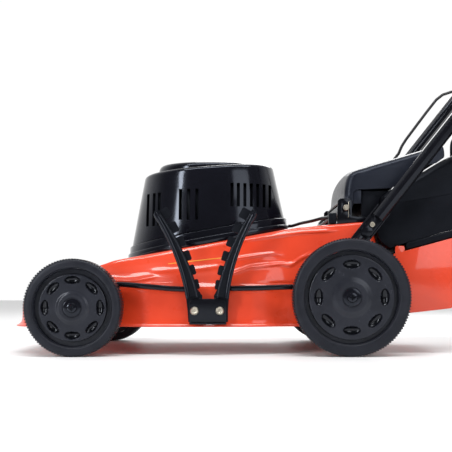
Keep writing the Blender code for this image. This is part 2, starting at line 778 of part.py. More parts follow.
def make_chute():
    """The sloping floor that lifts the grass from the blade to the collector's mouth."""
    slope = (TUNNEL_FLOOR - CHUTE_START_HEIGHT) / (CHUTE_END - CHUTE_START)

    def floor(x):
        return CHUTE_START_HEIGHT + slope * (x - CHUTE_START)

    half = TUNNEL_HALF
    end = CHUTE_END
    outline = [(CHUTE_START, floor(CHUTE_START)), (end, floor(end)), (end, floor(end) + CHUTE_SIDE),
               (end - 0.02, floor(end) + CHUTE_SIDE), (CHUTE_START, floor(CHUTE_START) + CHUTE_SIDE)]
    before, after, above = CHUTE_START - CHUTE_WALL, end + CHUTE_WALL, floor(end) + 2 * CHUTE_SIDE
    inner = [(before, floor(before) + CHUTE_WALL), (after, floor(after) + CHUTE_WALL), (after, above), (before, above)]
    chute = flat("discharge_chute", outline, -half, half, BLACK_MATTE)
    cut(chute, flat_mesh(inner, -half + CHUTE_WALL, half - CHUTE_WALL), "inside")


def oval(front, rear, half, height, count=32, front_power=COVER_FRONT_POWER, rear_power=COVER_REAR_POWER):
    """A ring that is round in front and squarer behind. Its height may follow x."""
    middle = COVER_CENTRE
    ring = []
    for k in range(count):
        turn = 2 * pi * k / count
        c, s = cos(turn), sin(turn)
        reach, power = (rear - middle, rear_power) if c > 0 else (middle - front, front_power)
        x = middle + (1 if c > 0 else -1) * reach * abs(c) ** (2 / power)
        y = (1 if s > 0 else -1) * half * abs(s) ** (2 / power)
        ring.append(Vector((x, y if abs(s) > 1e-9 else 0.0, height(x))))
    return ring


def cover_ring(share):
    """A ring of the cover's wall, from 0 at the base ring to 1 at the top edge."""
    return oval(COVER_FRONT + (COVER_TOP_FRONT - COVER_FRONT) * share,
                COVER_REAR + (COVER_TOP_REAR - COVER_REAR) * share,
                COVER_HALF + (COVER_TOP_HALF - COVER_HALF) * share, lambda x: cover_side(x, share))


def lid(x, lift=0.0):
    """The sloping top of the cover."""
    return COVER_TOP_HEIGHT + tan(COVER_TOP_SLOPE) * (x - COVER_TOP_FRONT) + lift


def cover_side(x, share):
    """Height on the cover's wall, from 0 at its foot to 1 at its shoulder."""
    low = seat(x, BASE_HEIGHT + 2 * GAP + COVER_RIM + COVER_WALL * tan(CREST_SLOPE))
    high = COVER_SHOULDER_HEIGHT + tan(COVER_TOP_SLOPE) * (x - COVER_TOP_FRONT)
    return low + (high - low) * share


def slot_places():
    """Centres and heights of the vent slots along the cover's side: (x, low z, high z)."""
    return [(x, cover_side(places[len(places) // 2], low), cover_side(places[len(places) // 2], high))
            for places, low, high in SLOT_GROUPS for x in places]


def make_cover():
    edge = COVER_EDGE
    foot = cover_ring(0.0)
    rim = [point - Vector((0.0, 0.0, COVER_RIM)) for point in foot]
    top = [rim, foot] + [cover_ring(share) for share in (0.33, 0.66, 1.0)]
    top.append(oval(COVER_TOP_FRONT + edge * 0.35, COVER_TOP_REAR - edge * 0.35, COVER_TOP_HALF - edge * 0.35,
                    lambda x: lid(x, -edge * 0.30)))
    top.append(oval(COVER_TOP_FRONT + edge, COVER_TOP_REAR - edge, COVER_TOP_HALF - edge, lid))
    cover = from_bmesh("motor_cover", ring_loft(top, close_end=True), BLACK_GLOSS)
    shell = cover.modifiers.new("wall", "SOLIDIFY")
    shell.thickness = COVER_WALL
    shell.offset = -1.0
    shell.use_even_offset = True
    for k, (x, low, high) in enumerate(slot_places()):
        half = SLOT_WIDTH / 2
        for label, side in SIDES.items():
            start, end = sorted((side * 0.075, side * 0.20))
            cut(cover, box_mesh((x - half, start, low), (x + half, end, high)), f"slot_{label}_{k}")

    bands = ((0.0, 0.0), (BASE_LOWER_BAND, 0.001), (BASE_LOWER_BAND + 0.001, BASE_STEP),
             (BASE_HEIGHT, BASE_STEP + 0.001))
    outer = [oval(BASE_FRONT + inset, BASE_REAR - inset, BASE_HALF - inset,
                  lambda x, up=up: seat(x, GAP + up)) for up, inset in bands]
    inner = [oval(BASE_FRONT + BASE_WALL + BASE_STEP, BASE_REAR - BASE_WALL - BASE_STEP,
                  BASE_HALF - BASE_WALL - BASE_STEP, lambda x, up=up: seat(x, GAP + up))
             for up in (BASE_HEIGHT, 0.0)]
    from_bmesh("cover_base_ring", ring_loft(outer + inner + outer[:1]), BLACK_GLOSS)
    cap_rings = []
    for inset, height in ((0.0, lambda x: lid(x, GAP)), (0.0, lambda x: cap_side(x, 0.45)),
                          (CAP_EDGE * 0.3, lambda x: cap_side(x, 0.85)), (CAP_EDGE, lambda x: cap_side(x, 1.0))):
        cap_rings.append(oval(CAP_FRONT + inset, CAP_REAR - inset, CAP_HALF - inset, height, 24))
    shape = ring_loft(cap_rings, close_start=True, close_end=True)
    from_bmesh("cover_cap", shape, BLACK_GLOSS)


def make_air_guide():
    """The ring inside the cover that leads the cooling air round the motor."""
    inset, top = GUIDE_INSET, COVER_TOP_HEIGHT - GUIDE_TOP
    rings = []
    for extra, height in ((0.0, None), (0.0, top), (GUIDE_WALL, top), (GUIDE_WALL, None)):
        rings.append(oval(COVER_FRONT + inset + extra, COVER_REAR - inset - extra, COVER_HALF - inset - extra,
                          lambda x, z=height: seat(x, GAP) if z is None else z, 24))
    shape = ring_loft(rings + rings[:1])
    bmesh.ops.remove_doubles(shape, verts=shape.verts, dist=GAP / 10)
    from_bmesh("air_guide", shape, BLACK_MATTE)


def cap_side(x, share):
    low = lid(x, GAP)
    return low + (CAP_TOP - low) * share


def make_motor():
    turns = [2 * pi * k / 24 for k in range(24)]
    plan = [(COVER_CENTRE + MOTOR_FOOT_RADIUS * cos(turn), MOTOR_FOOT_RADIUS * sin(turn)) for turn in turns]
    foot_rings = [[(x, y, seat(x, GAP)) for x, y in plan], [(x, y, MOTOR_FOOT_TOP) for x, y in plan]]
    mount = from_bmesh("motor_mount", ring_loft(foot_rings, True, True), ALUMINIUM)
    bore, corner, height = SHAFT_RADIUS + RUNNING_GAP, MOTOR_CORNER, MOTOR_CAN_HEIGHT
    base = MOTOR_FOOT_TOP + GAP
    below = seat(COVER_CENTRE - MOTOR_FOOT_RADIUS) - corner
    cut(mount, rod_mesh((COVER_CENTRE, 0, below), (COVER_CENTRE, 0, base + corner), bore, 16), "bore")
    can = [(bore, height), (MOTOR_RADIUS - corner, height), (MOTOR_RADIUS, height - corner), (MOTOR_RADIUS, 0.0),
           (bore, 0.0)]
    turned("motor_can", can, (COVER_CENTRE, 0, base), (0, 0, 1), BARE_STEEL)
    bell = [(bore, BELL_HEIGHT), (BELL_RADIUS - corner, BELL_HEIGHT), (BELL_RADIUS, 0.0), (bore, 0.0)]
    turned("motor_end_bell", bell, (COVER_CENTRE, 0, base + height + GAP), (0, 0, 1), ALUMINIUM, steps=20)
    centre = COVER_CENTRE + CAPACITOR_OFFSET
    ring = [Vector((centre + CAPACITOR_RADIUS * cos(pi * k / 8), CAPACITOR_RADIUS * sin(pi * k / 8), 0))
            for k in range(16)]
    foot = [Vector((p.x, p.y, seat(p.x, GAP))) for p in ring]
    top = [Vector((p.x, p.y, seat(centre) + CAPACITOR_HEIGHT)) for p in ring]
    from_bmesh("motor_capacitor", ring_loft([foot, top], True, True), AMBER)


def make_blade():
    top = MOTOR_FOOT_TOP + MOTOR_CAN_HEIGHT + BELL_HEIGHT + 3 * GAP
    centre = (COVER_CENTRE, 0)
    hub_foot = BLADE_HEIGHT + BLADE_THICKNESS + GAP
    shaft_top = top + FAN_STAND + FAN_HEIGHT + SHAFT_TAIL
    rod("motor_shaft", (*centre, hub_foot + HUB_HEIGHT + GAP), (*centre, shaft_top), SHAFT_RADIUS,
        BARE_STEEL, SPIN, 20)
    hub = [(0, HUB_HEIGHT), (HUB_RADIUS * 0.75, HUB_HEIGHT), (HUB_RADIUS, HUB_HEIGHT * 0.7), (HUB_RADIUS, 0.0),
           (0, 0.0)]
    turned("blade_hub", hub, (*centre, hub_foot), (0, 0, 1), ALUMINIUM, SPIN, 20)
    half = BLADE_WIDTH / 2
    inner = BLADE_RADIUS - BLADE_EDGE
    ground = half - BLADE_GROUND
    plan = [(-BLADE_RADIUS, -ground), (-inner, -half), (inner, -half), (BLADE_RADIUS, -half), (BLADE_RADIUS, ground),
            (inner, half), (-inner, half), (-BLADE_RADIUS, half)]
    outline = [(COVER_CENTRE + x, y) for x, y in plan]
    blade = flat_mesh(outline, BLADE_HEIGHT, BLADE_HEIGHT + BLADE_THICKNESS, "XY")
    from_bmesh("blade", blade, BARE_STEEL, SPIN)
    head = [(0, 0.0), (BLADE_BOLT_RADIUS, 0.0), (BLADE_BOLT_RADIUS, -BLADE_BOLT_HEAD), (0, -BLADE_BOLT_HEAD)]
    turned("blade_bolt", head, (*centre, BLADE_HEIGHT - GAP), (0, 0, 1), ZINC, SPIN, 6)
    fan = [(SHAFT_RADIUS + GAP, FAN_HEIGHT), (FAN_HUB_RADIUS, FAN_HEIGHT), (FAN_HUB_RADIUS, 0.0025),
           (FAN_RADIUS, 0.0025), (FAN_RADIUS, 0.0), (SHAFT_RADIUS + GAP, 0.0)]
    base = top + FAN_STAND
    wheel = turned("cooling_fan", fan, (*centre, base), (0, 0, 1), BLACK_MATTE, SPIN, 20)
    for k in range(FAN_BLADES):
        turn = Matrix.Rotation(2 * pi * k / FAN_BLADES, 4, "Z")
        low = (FAN_HUB_RADIUS - FAN_VANE, -FAN_VANE / 2, FAN_VANE)
        shape = box_mesh(low, (FAN_RADIUS - FAN_VANE, FAN_VANE / 2, FAN_HEIGHT - FAN_VANE / 3))
        bmesh.ops.transform(shape, matrix=Matrix.Translation((*centre, base)) @ turn, verts=shape.verts)
        vane = from_bmesh(f"cooling_fan_vane_{k}", shape, None, SPIN, CUTTERS)
        join(wheel, vane, f"vane_{k}")


def make_axle(name, pivot, wheel, lever, jog, skirt, carrier):
    """A crank axle: a bar through the deck, an arm and a stub on each side, and its lever rod."""
    x, z = pivot
    tip = WHEEL_FACE - AXLE_TIP
    path = [(wheel[0], -tip, wheel[1]), (wheel[0], -CRANK_PLANE, wheel[1]), (x, -CRANK_PLANE, z),
            (x, CRANK_PLANE, z), (wheel[0], CRANK_PLANE, wheel[1]), (wheel[0], tip, wheel[1])]
    axle = add_mesh(name, tube_mesh(bent_route(path, AXLE_BEND, 3), AXLE_RADIUS, 2), BLACK_PAINT, carrier)

    def plane(place):
        return -(CRANK_PLANE + (LEVER_PLANE - CRANK_PLANE) * smooth_step(place, *jog))

    route = smooth_route([(x, -CRANK_PLANE, z)] + [(px, plane(px), pz) for px, pz in lever], 14)
    rod_piece = add_mesh(f"{name}_lever", tube_mesh(route, LEVER_RADIUS, 2), None, carrier, CUTTERS)
    join(axle, rod_piece, "lever")
    collars, flanges, bores = bmesh.new(), bmesh.new(), bmesh.new()
    for side in SIDES.values():
        outer = skirt + GAP + BUSH_FLANGE_WALL
        rod_mesh((x, side * (skirt - BUSH_LENGTH), z), (x, side * (outer - 0.0005), z), BUSH_RADIUS, 12, collars)
        rod_mesh((x, side * (skirt + GAP), z), (x, side * outer, z), BUSH_FLANGE, 16, flanges)
        barrel = WHEEL_FACE - TYRE_WIDTH + HUB_BARREL_STAND - GAP
        rod_mesh((wheel[0], side * (CRANK_PLANE + AXLE_BEND), wheel[1]), (wheel[0], side * barrel, wheel[1]),
                 SPACER_RADIUS, 12, collars)
        rod_mesh((wheel[0], side * (tip - HUB_SHANK_LENGTH), wheel[1]), (wheel[0], side * (tip + 0.01), wheel[1]),
                 HUB_SHANK_RADIUS + GAP, 8, bores)
    for label, shape in (("collars", collars), ("flanges", flanges)):
        join(axle, from_bmesh(f"{name}_{label}", shape, None, carrier, CUTTERS), label)
    cut(axle, bores, "bores")


def make_wheel(name, side, axle, radius, sidewall, web_radius, hub_radius, dimple, circle, spin, fixed):
    """Tyre and rim turn together. The hub screw holds them and stays with the axle."""
    x, z = axle
    direction = (0, side, 0)
    base = side * (WHEEL_FACE - TYRE_WIDTH)
    inner = radius - sidewall
    top = TYRE_WIDTH
    tyre = [(inner, top - 0.0015), (inner + 0.002, top), (radius - TYRE_SHOULDER, top),
            (radius, top - TYRE_SHOULDER), (radius, TYRE_SHOULDER), (radius - TYRE_SHOULDER, 0.0), (inner, 0.0)]
    turned(f"{name}_tyre", tyre, (x, base, z), direction, TYRE_PLASTIC, spin, WHEEL_STEPS)
    outer = inner - GAP
    bore = AXLE_RADIUS + RUNNING_GAP
    rim = [
        (bore, top - HUB_DEPTH), (hub_radius, top - HUB_DEPTH), (hub_radius + 0.0015, top - WEB_DEPTH),
        (web_radius, top - WEB_DEPTH), (web_radius + 0.001, top - GROOVE_DEPTH),
        (outer - RIM_WALL, top - GROOVE_DEPTH), (outer - RIM_WALL, top - 0.0015), (outer, top - 0.0015),
        (outer, 0.003), (outer - RIM_WALL, 0.003), (outer - RIM_WALL, top - GROOVE_DEPTH - RIM_WALL),
        (HUB_BARREL_RADIUS, top - GROOVE_DEPTH - RIM_WALL), (HUB_BARREL_RADIUS, HUB_BARREL_STAND),
        (bore, HUB_BARREL_STAND),
    ]
    disc = turned(f"{name}_rim", rim, (x, base, z), direction, WHEEL_PLASTIC, spin, WHEEL_STEPS)
    dimples = bmesh.new()
    face = base + side * (top - WEB_DEPTH)
    for k in range(DIMPLE_COUNT):
        turn = 2 * pi * k / DIMPLE_COUNT
        spot = Vector((x + circle * cos(turn), face, z + circle * sin(turn)))
        place = Matrix.Translation(spot) @ Matrix.Rotation(-turn, 4, "Y")
        oval_place = place @ Matrix.Diagonal((dimple[1], 1.0, dimple[0], 1.0)) @ Matrix.Rotation(pi / 2, 4, "X")
        bmesh.ops.create_cone(dimples, cap_ends=True, segments=8, radius1=0.5, radius2=0.5,
                              depth=2 * DIMPLE_DEPTH, matrix=oval_place)
    cut(disc, dimples, "dimples")
    under = top - HUB_DEPTH + GAP
    shank = HUB_SHANK_RADIUS
    end = top - AXLE_TIP - HUB_SHANK_LENGTH + 0.001
    screw = [(0, under + WASHER_HEIGHT + HUB_SCREW_HEIGHT), (HUB_SCREW_RADIUS * 0.75, under + WASHER_HEIGHT + HUB_SCREW_HEIGHT),
             (HUB_SCREW_RADIUS, under + WASHER_HEIGHT + 0.001), (HUB_SCREW_RADIUS, under + WASHER_HEIGHT),
             (WASHER_RADIUS, under + WASHER_HEIGHT), (WASHER_RADIUS, under), (shank, under), (shank, end), (0, end)]
    turned(f"{name}_hub_screw", screw, (x, base, z), direction, BLACK_GLOSS, fixed, 12)


def make_comb(name, foot, tip, lean, bolt_x):
    """A notched plate standing off the deck's side. lean is +1 where the teeth face the rear."""
    def edge(z, inward=0.0):
        rise = tip[1] - foot[1]
        t = (z - foot[1]) / rise
        x = foot[0] + (tip[0] - foot[0]) * t + lean * COMB_BOW * 4 * t * (1 - t)
        slope = ((tip[0] - foot[0]) + lean * COMB_BOW * 4 * (1 - 2 * t)) / rise
        length = hypot(slope, 1.0)
        return x + lean * inward / length, z - lean * slope * inward / length

    def ridge_width(z):
        share = (z - BRACKET_TOP) / (tip[1] - BRACKET_TOP)
        return COMB_RIDGE_FOOT + (COMB_RIDGE_TIP - COMB_RIDGE_FOOT) * share

    outer = [edge(foot[1] + (tip[1] - foot[1]) * k / 10) for k in range(11)]
    outer[-1] = edge(tip[1] - COMB_CORNER, 0.0)
    inner = [edge(tip[1], COMB_CORNER), edge(tip[1], ridge_width(tip[1]))]
    for k in range(COMB_TEETH):
        middle = COMB_TOOTH_LOW + COMB_PITCH * (COMB_TEETH - 1 - k)
        high, low = middle + COMB_TOOTH_HALF, middle - COMB_TOOTH_HALF
        side = COMB_WIDTH - COMB_CORNER / 2
        inner += [edge(high, ridge_width(high)), edge(high, side), edge(high - COMB_CORNER / 2, COMB_WIDTH),
                  edge(low + COMB_CORNER / 2, COMB_WIDTH), edge(low, side), edge(low, ridge_width(low))]
    heel = foot[0] + lean * COMB_FOOT_WIDTH
    inner += [(heel, COMB_TOOTH_LOW - COMB_TOOTH_HALF - 2 * COMB_CORNER), (heel, foot[1])]
    low_y, high_y = -COMB_PLANE - COMB_PLATE, -COMB_PLANE
    comb = flat(name, outer + inner, low_y, high_y, BLACK_MATTE)
    start = BRACKET_TOP + COMB_CORNER / 2
    span = [start + (tip[1] - COMB_CORNER - start) * k / 8 for k in range(9)]
    ridge = [edge(z, COMB_SKIN) for z in span] + [edge(z, ridge_width(z) - COMB_SKIN) for z in reversed(span)]
    raised = flat_mesh(ridge, low_y - COMB_RIDGE, high_y - COMB_SKIN)
    ridge_piece = from_bmesh(f"{name}_ridge", raised, None, None, CUTTERS)
    join(comb, ridge_piece, "ridge")
    boss = rod_mesh((bolt_x, -SKIRT_HALF_MIDDLE - GAP, COMB_BOLT_Z), (bolt_x, -COMB_PLANE - 0.001, COMB_BOLT_Z),
                    COMB_BOSS_RADIUS, 14)
    join(comb, from_bmesh(f"{name}_boss", boss, None, None, CUTTERS), "boss")
    cut(comb, rod_mesh((bolt_x, -0.23, COMB_BOLT_Z), (bolt_x, -0.19, COMB_BOLT_Z), COMB_BOLT_RADIUS + GAP, 10), "hole")


def make_height_bracket():
    """The plate over the combs' feet, and the two bolts through it, the feet and the deck."""
    outer = COMB_PLANE + COMB_PLATE + GAP
    corner = BRACKET_CORNER
    outline = [(BRACKET_FRONT, BRACKET_FOOT), (BRACKET_REAR, BRACKET_FOOT)]
    outline += arc((BRACKET_REAR - corner, BRACKET_TOP - corner), corner, 0, 90, 4)
    outline += arc((BRACKET_FRONT + corner, BRACKET_TOP - corner), corner, 90, 180, 4)
    plate = flat("comb_bracket", outline, -outer - COMB_PLATE, -outer, BLACK_PAINT)
    lip = box_mesh((BRACKET_FRONT + 0.001, -outer - COMB_PLATE - BRACKET_LIP, BRACKET_FOOT + 0.0005),
                   (BRACKET_REAR - 0.001, -outer - 0.001, BRACKET_FOOT + 0.004))
    join(plate, from_bmesh("comb_bracket_lip", lip, None, None, CUTTERS), "lip")
    for label, x in zip(("front", "rear"), COMB_BOLT_X):
        cut(plate, rod_mesh((x, -0.24, COMB_BOLT_Z), (x, -0.21, COMB_BOLT_Z), COMB_BOLT_RADIUS + GAP, 10), label)
        seat_y = -outer - COMB_PLATE - GAP
        inside = -SKIRT_HALF_MIDDLE + STEEL + 0.004
        length = inside - seat_y
        head, top = COMB_BOLT_HEAD, COMB_BOLT_HEAD_HEIGHT
        profile = [(0, top), (head * 0.8, top), (head, top * 0.4), (head, 0), (COMB_BOLT_RADIUS, 0),
                   (COMB_BOLT_RADIUS, -length), (0, -length)]
        turned(f"{label}_comb_bolt", profile, (x, seat_y, COMB_BOLT_Z), (0, -1, 0), ZINC, steps=12)


def flap_section(top, under, y):
    """The flap's outline at a distance from its middle: its top falls away and draws back to the sides."""
    share = abs(y) / FLAP_HALF
    over = max(0.0, abs(y) - FLAP_HALF + FLAP_EDGE)
    drop = FLAP_CROWN * share ** 2 + FLAP_EDGE - sqrt(FLAP_EDGE ** 2 - over ** 2)
    moved = []
    for x, z in top:
        back = FLAP_BOW * share ** 2 * (1 - smooth_step(x, *FLAP_BOW_SPAN))
        moved.append((x + back, y, z - drop * smooth_step(x, *FLAP_CROWN_SPAN)))
    return moved + [(x, y, z) for x, z in under]


def make_flap():
    places = [-u * FLAP_HALF for u in reversed(FLAP_SECTIONS)] + [u * FLAP_HALF for u in FLAP_SECTIONS[1:]]
    rings = [flap_section(FLAP_TOP, FLAP_UNDER, y) for y in places]
    flap = from_bmesh("flap", ring_loft(rings, True, True), BLACK_MATTE, FLAP_AXIS)
    hollow = [y * (FLAP_HALF - FLAP_WALL) / FLAP_HALF for y in places]
    roof = len(FLAP_TOP)
    rings = [flap_section(FLAP_HOLLOW[:roof], FLAP_HOLLOW[roof:], y) for y in hollow]
    cut(flap, ring_loft(rings, True, True), "inside")
    x, z = HINGE
    reach = FLAP_BRACKET_HALF + FLAP_BRACKET_WALL
    cut(flap, rod_mesh((x, -reach, z), (x, reach, z), HINGE_ROD_RADIUS + RUNNING_GAP, 12), "hinge")

    half, front, rear = FLAP_BRACKET_HALF, FLAP_BRACKET_FRONT, FLAP_BRACKET_REAR
    sheet = FLAP_BRACKET_WALL
    low, high = crest(front) + GAP, crest(rear) + GAP
    knee = CREST_TAIL[1][0]
    floor = [(front, low), (knee, crest(knee) + GAP), (rear, high)]
    plate = floor + [(x, z + sheet) for x, z in reversed(floor)]
    bracket = flat("flap_bracket", plate, -half, half, BLACK_PAINT)
    x, z = HINGE
    for label, side in SIDES.items():
        start, end = sorted((side * (half - sheet), side * half))
        ear = [(front, low + sheet / 3), (rear, high + sheet / 3), (rear, high + EAR_FOOT - sheet),
               (x + EAR_BEHIND, high + EAR_FOOT), (x + EAR_BEHIND, EAR_TOP - EAR_CORNER),
               (x + EAR_BEHIND - EAR_CORNER, EAR_TOP), (x - EAR_AHEAD + EAR_CORNER, EAR_TOP),
               (x - EAR_AHEAD, EAR_TOP - EAR_CORNER), (front, low + EAR_FOOT)]
        piece = from_bmesh(f"flap_bracket_{label}_ear", flat_mesh(ear, start, end), None, None, CUTTERS)
        join(bracket, piece, f"{label}_ear")
    cut(bracket, rod_mesh((x, -reach, z), (x, reach, z), HINGE_ROD_RADIUS + GAP, 12), "hinge")
    spring_start = half + GAP + SPRING_WIRE
    spring_end = spring_start + SPRING_TURNS * SPRING_PITCH
    r = HINGE_ROD_RADIUS
    head = sheet
    end = spring_end + SPRING_WIRE + GAP + head
    profile = [(0, end), (r + head, end), (r + head, end - head), (r, end - head), (r, -half - head), (0, -half - head)]
    turned("flap_hinge_rod", profile, (x, 0, z), (0, -1, 0), ZINC, steps=12)
    coil = []
    for k in range(SPRING_TURNS * 10 + 1):
        turn = 2 * pi * k / 10
        coil.append((x + SPRING_COIL_RADIUS * cos(turn), -spring_start - SPRING_PITCH * k / 10,
                     z + SPRING_COIL_RADIUS * sin(turn)))
    last = Vector(coil[-1])
    leg = [Vector(coil[0]) + Vector((0.0, 0.0, -0.005 * k)) for k in (4, 3, 2, 1)]
    arm = [last + Vector((-0.0005, 0.0, 0.006 * k)) for k in (1, 2)]
    tube("flap_spring", leg + coil + arm, SPRING_WIRE, ZINC, resolution=0)


def make_clamp():
    """The block in front of the hinge where the motor's lead meets the cable of the handle."""
    floor = max(crest(CLAMP_FRONT), crest(CLAMP_REAR)) + GAP
    low = (CLAMP_FRONT, CLAMP_LEFT, floor)
    high = (CLAMP_REAR, CLAMP_RIGHT, CLAMP_TOP)
    box("cable_clamp", low, high, BLACK_MATTE)


def handle_point(along, y=0.0, behind=0.0):
    """A place on the upper handle: along it from the fold, across, and square to it behind."""
    return FOLD_POINT + ALONG * along + BEHIND * behind + Vector((0.0, y, 0.0))


def handle_box(low, high, origin=None):
    """A block square to the handle, its corners given along it, across, and behind it."""
    low, high = Vector(low), Vector(high)
    turn = Matrix((ALONG, (0.0, 1.0, 0.0), BEHIND)).transposed().to_4x4()
    place = Matrix.Translation(FOLD_POINT if origin is None else origin) @ turn
    shape = bmesh.new()
    bmesh.ops.create_cube(shape, size=1.0, matrix=place @ Matrix.Translation((low + high) / 2)
                          @ Matrix.Diagonal((*(high - low), 1.0)))
    return shape


def strip(start, end, width, count=5):
    """The outline of a flat bar with round ends, along the handle from the foot point."""
    outline = []
    turn = HANDLE_ANGLE * 180 / pi
    for at, first in ((end, -90), (start, 90)):
        centre = FOOT_POINT + ALONG * at
        outline += arc((centre.x, centre.z), width / 2, turn + first, turn + first + 180, count)
    return outline


def make_lower_handle():
    inner = SKIRT_HALF_REAR + GAP
    outer = inner + FOOT_PLATE
    bolt = FOOT_POINT - ALONG * FOOT_BOLT_BACK
    for label, side in SIDES.items():
        low, high = sorted((side * inner, side * outer))
        plate = flat(f"{label}_foot_plate", strip(-FOOT_LENGTH, FOOT_PLATE_TOP, FOOT_WIDTH), low, high, BLACK_PAINT)
        hole = rod_mesh((bolt.x, side * 0.15, bolt.z), (bolt.x, side * 0.25, bolt.z), FOOT_BOLT_RADIUS + GAP, 10)
        cut(plate, hole, "bolt")
        start, end = FOOT_POINT.copy(), FOOT_POINT + ALONG * LOWER_TUBE_LENGTH
        start.y = end.y = side * HANDLE_HALF
        pipe = tube(f"lower_{label}_tube", [start, end], TUBE_RADIUS, BLACK_PAINT, None, 3, TUBE_WALL)
        low, high = sorted((side * (outer + GAP), side * (outer + GAP + FOOT_PLATE)))
        tongue = flat_mesh(strip(-TONGUE_LENGTH + TONGUE_WIDTH / 2, TUBE_RADIUS, TONGUE_WIDTH), low, high)
        join(pipe, from_bmesh(f"lower_{label}_tongue", tongue, None, None, CUTTERS), "tongue")
        hole = rod_mesh((bolt.x, side * 0.15, bolt.z), (bolt.x, side * 0.25, bolt.z), FOOT_BOLT_RADIUS + GAP, 10)
        cut(pipe, hole, "bolt")
        cut(pipe, rod_mesh(handle_point(0, side * 0.15), handle_point(0, side * 0.25), CLAMP_BOLT_RADIUS + GAP, 10),
            "clamp_bolt")
        head, radius = FOOT_BOLT_HEAD, FOOT_BOLT_RADIUS
        seat_y = outer + 2 * GAP + FOOT_PLATE
        profile = [(0, 0.004), (head * 0.8, 0.004), (head, 0.002), (head, 0), (radius, 0),
                   (radius, SKIRT_HALF_REAR - 0.001 - seat_y), (0, SKIRT_HALF_REAR - 0.001 - seat_y)]
        turned(f"{label}_foot_bolt", profile, (bolt.x, side * seat_y, bolt.z), (0, side, 0), ZINC, steps=12)


def make_upper_handle():
    corner = [handle_point(-UPPER_OVERLAP, -UPPER_HALF), handle_point(UPPER_LENGTH, -UPPER_HALF),
              handle_point(UPPER_LENGTH, UPPER_HALF), handle_point(-UPPER_OVERLAP, UPPER_HALF)]
    handle = tube("upper_handle", bent_route(corner, UPPER_BEND, 6), TUBE_RADIUS, BLACK_PAINT, FOLD, 3, TUBE_WALL)
    bore = CLAMP_BOLT_RADIUS + GAP
    cut(handle, rod_mesh(handle_point(0, -0.25), handle_point(0, 0.25), bore, 10), "clamp_bolts")
    pin = handle_point(UPPER_LENGTH - BAIL_BACK)
    inner = UPPER_HALF - TUBE_RADIUS
    reach = Vector((0.0, inner + TUBE_RADIUS, 0.0))
    cut(handle, rod_mesh(pin - reach, pin + reach, BAIL_RADIUS + RUNNING_GAP, 8), "bail_pins")
    grip = GRIP_HALF
    sleeve = [(TUBE_RADIUS + GAP, grip), (TUBE_RADIUS + GRIP_WALL - 0.002, grip), (TUBE_RADIUS + GAP + GRIP_WALL, grip - 0.003),
              (TUBE_RADIUS + GAP + GRIP_WALL, 0.003 - grip), (TUBE_RADIUS + GRIP_WALL - 0.002, -grip),
              (TUBE_RADIUS + GAP, -grip)]
    turned("handle_grip", sleeve, GRIP_POINT, (0, 1, 0), FOAM, FOLD, 16)

    for label, side in SIDES.items():
        carrier = KNOBS[label]
        start = HANDLE_HALF + TUBE_RADIUS + 2 * GAP
        outline = []
        for k in range(KNOB_LOBES * 6):
            turn = 2 * pi * k / (KNOB_LOBES * 6)
            radius = KNOB_RADIUS * (0.9 + 0.1 * cos(KNOB_LOBES * turn))
            outline.append((FOLD_POINT.x + radius * cos(turn), FOLD_POINT.z + radius * sin(turn)))
        low, high = sorted((side * start, side * (start + KNOB_HEIGHT)))
        knob = flat(f"{label}_clamp_knob", outline, low, high, BLACK_MATTE, carrier)
        shank = rod_mesh(handle_point(0, side * (UPPER_HALF - TUBE_RADIUS + GAP)), handle_point(0, side * (start + 0.004)),
                         CLAMP_BOLT_RADIUS, 12)
        join(knob, from_bmesh(f"{label}_clamp_shank", shank, None, carrier, CUTTERS), "shank")

    rail = inner - BAIL_CLEARANCE
    bottom = UPPER_LENGTH - BAIL_BACK
    path = [handle_point(bottom, -inner - BAIL_PIN), handle_point(bottom, -rail), handle_point(UPPER_LENGTH - BAIL_SHORT, -rail, BAIL_LIFT),
            handle_point(UPPER_LENGTH - BAIL_SHORT, rail, BAIL_LIFT), handle_point(bottom, rail), handle_point(bottom, inner + BAIL_PIN)]
    tube("bail", bent_route(path, 0.006, 3), BAIL_RADIUS, ZINC, BAIL, 2)


def make_controls():
    outer = UPPER_HALF - TUBE_RADIUS - GAP
    start, end = SWITCH_DISTANCE - SWITCH_LENGTH / 2, SWITCH_DISTANCE + SWITCH_LENGTH / 2
    half = SWITCH_DEPTH / 2
    case = from_bmesh("switch_box", handle_box((start, outer - SWITCH_WIDTH, -half), (end, outer, half)), BLACK_MATTE, FOLD)
    middle = outer - SWITCH_WIDTH / 2
    soften = case.modifiers.new("edges", "BEVEL")
    soften.width = 0.004
    soften.segments = 2
    sunk = BUTTON_STAND + BUTTON_TRAVEL
    top = handle_point(SWITCH_DISTANCE, middle, -half - 0.01)
    floor = handle_point(SWITCH_DISTANCE, middle, -half + sunk)
    cut(case, rod_mesh(top, floor, BUTTON_RADIUS + RUNNING_GAP, 16), "button")
    rod("start_button", handle_point(SWITCH_DISTANCE, middle, -half - BUTTON_STAND),
        handle_point(SWITCH_DISTANCE, middle, -half + sunk - BUTTON_TRAVEL - GAP), BUTTON_RADIUS, RED_PLASTIC, BUTTON, 16)
    bore, deep = INLET_RADIUS - INLET_WALL, INLET_WALL
    inlet = [(0, deep), (bore, deep), (bore, INLET_LENGTH), (INLET_RADIUS, INLET_LENGTH), (INLET_RADIUS, 0), (0, 0)]
    turned("plug_inlet", inlet, handle_point(end + GAP, middle), ALONG, BLACK_MATTE, FOLD, 16)


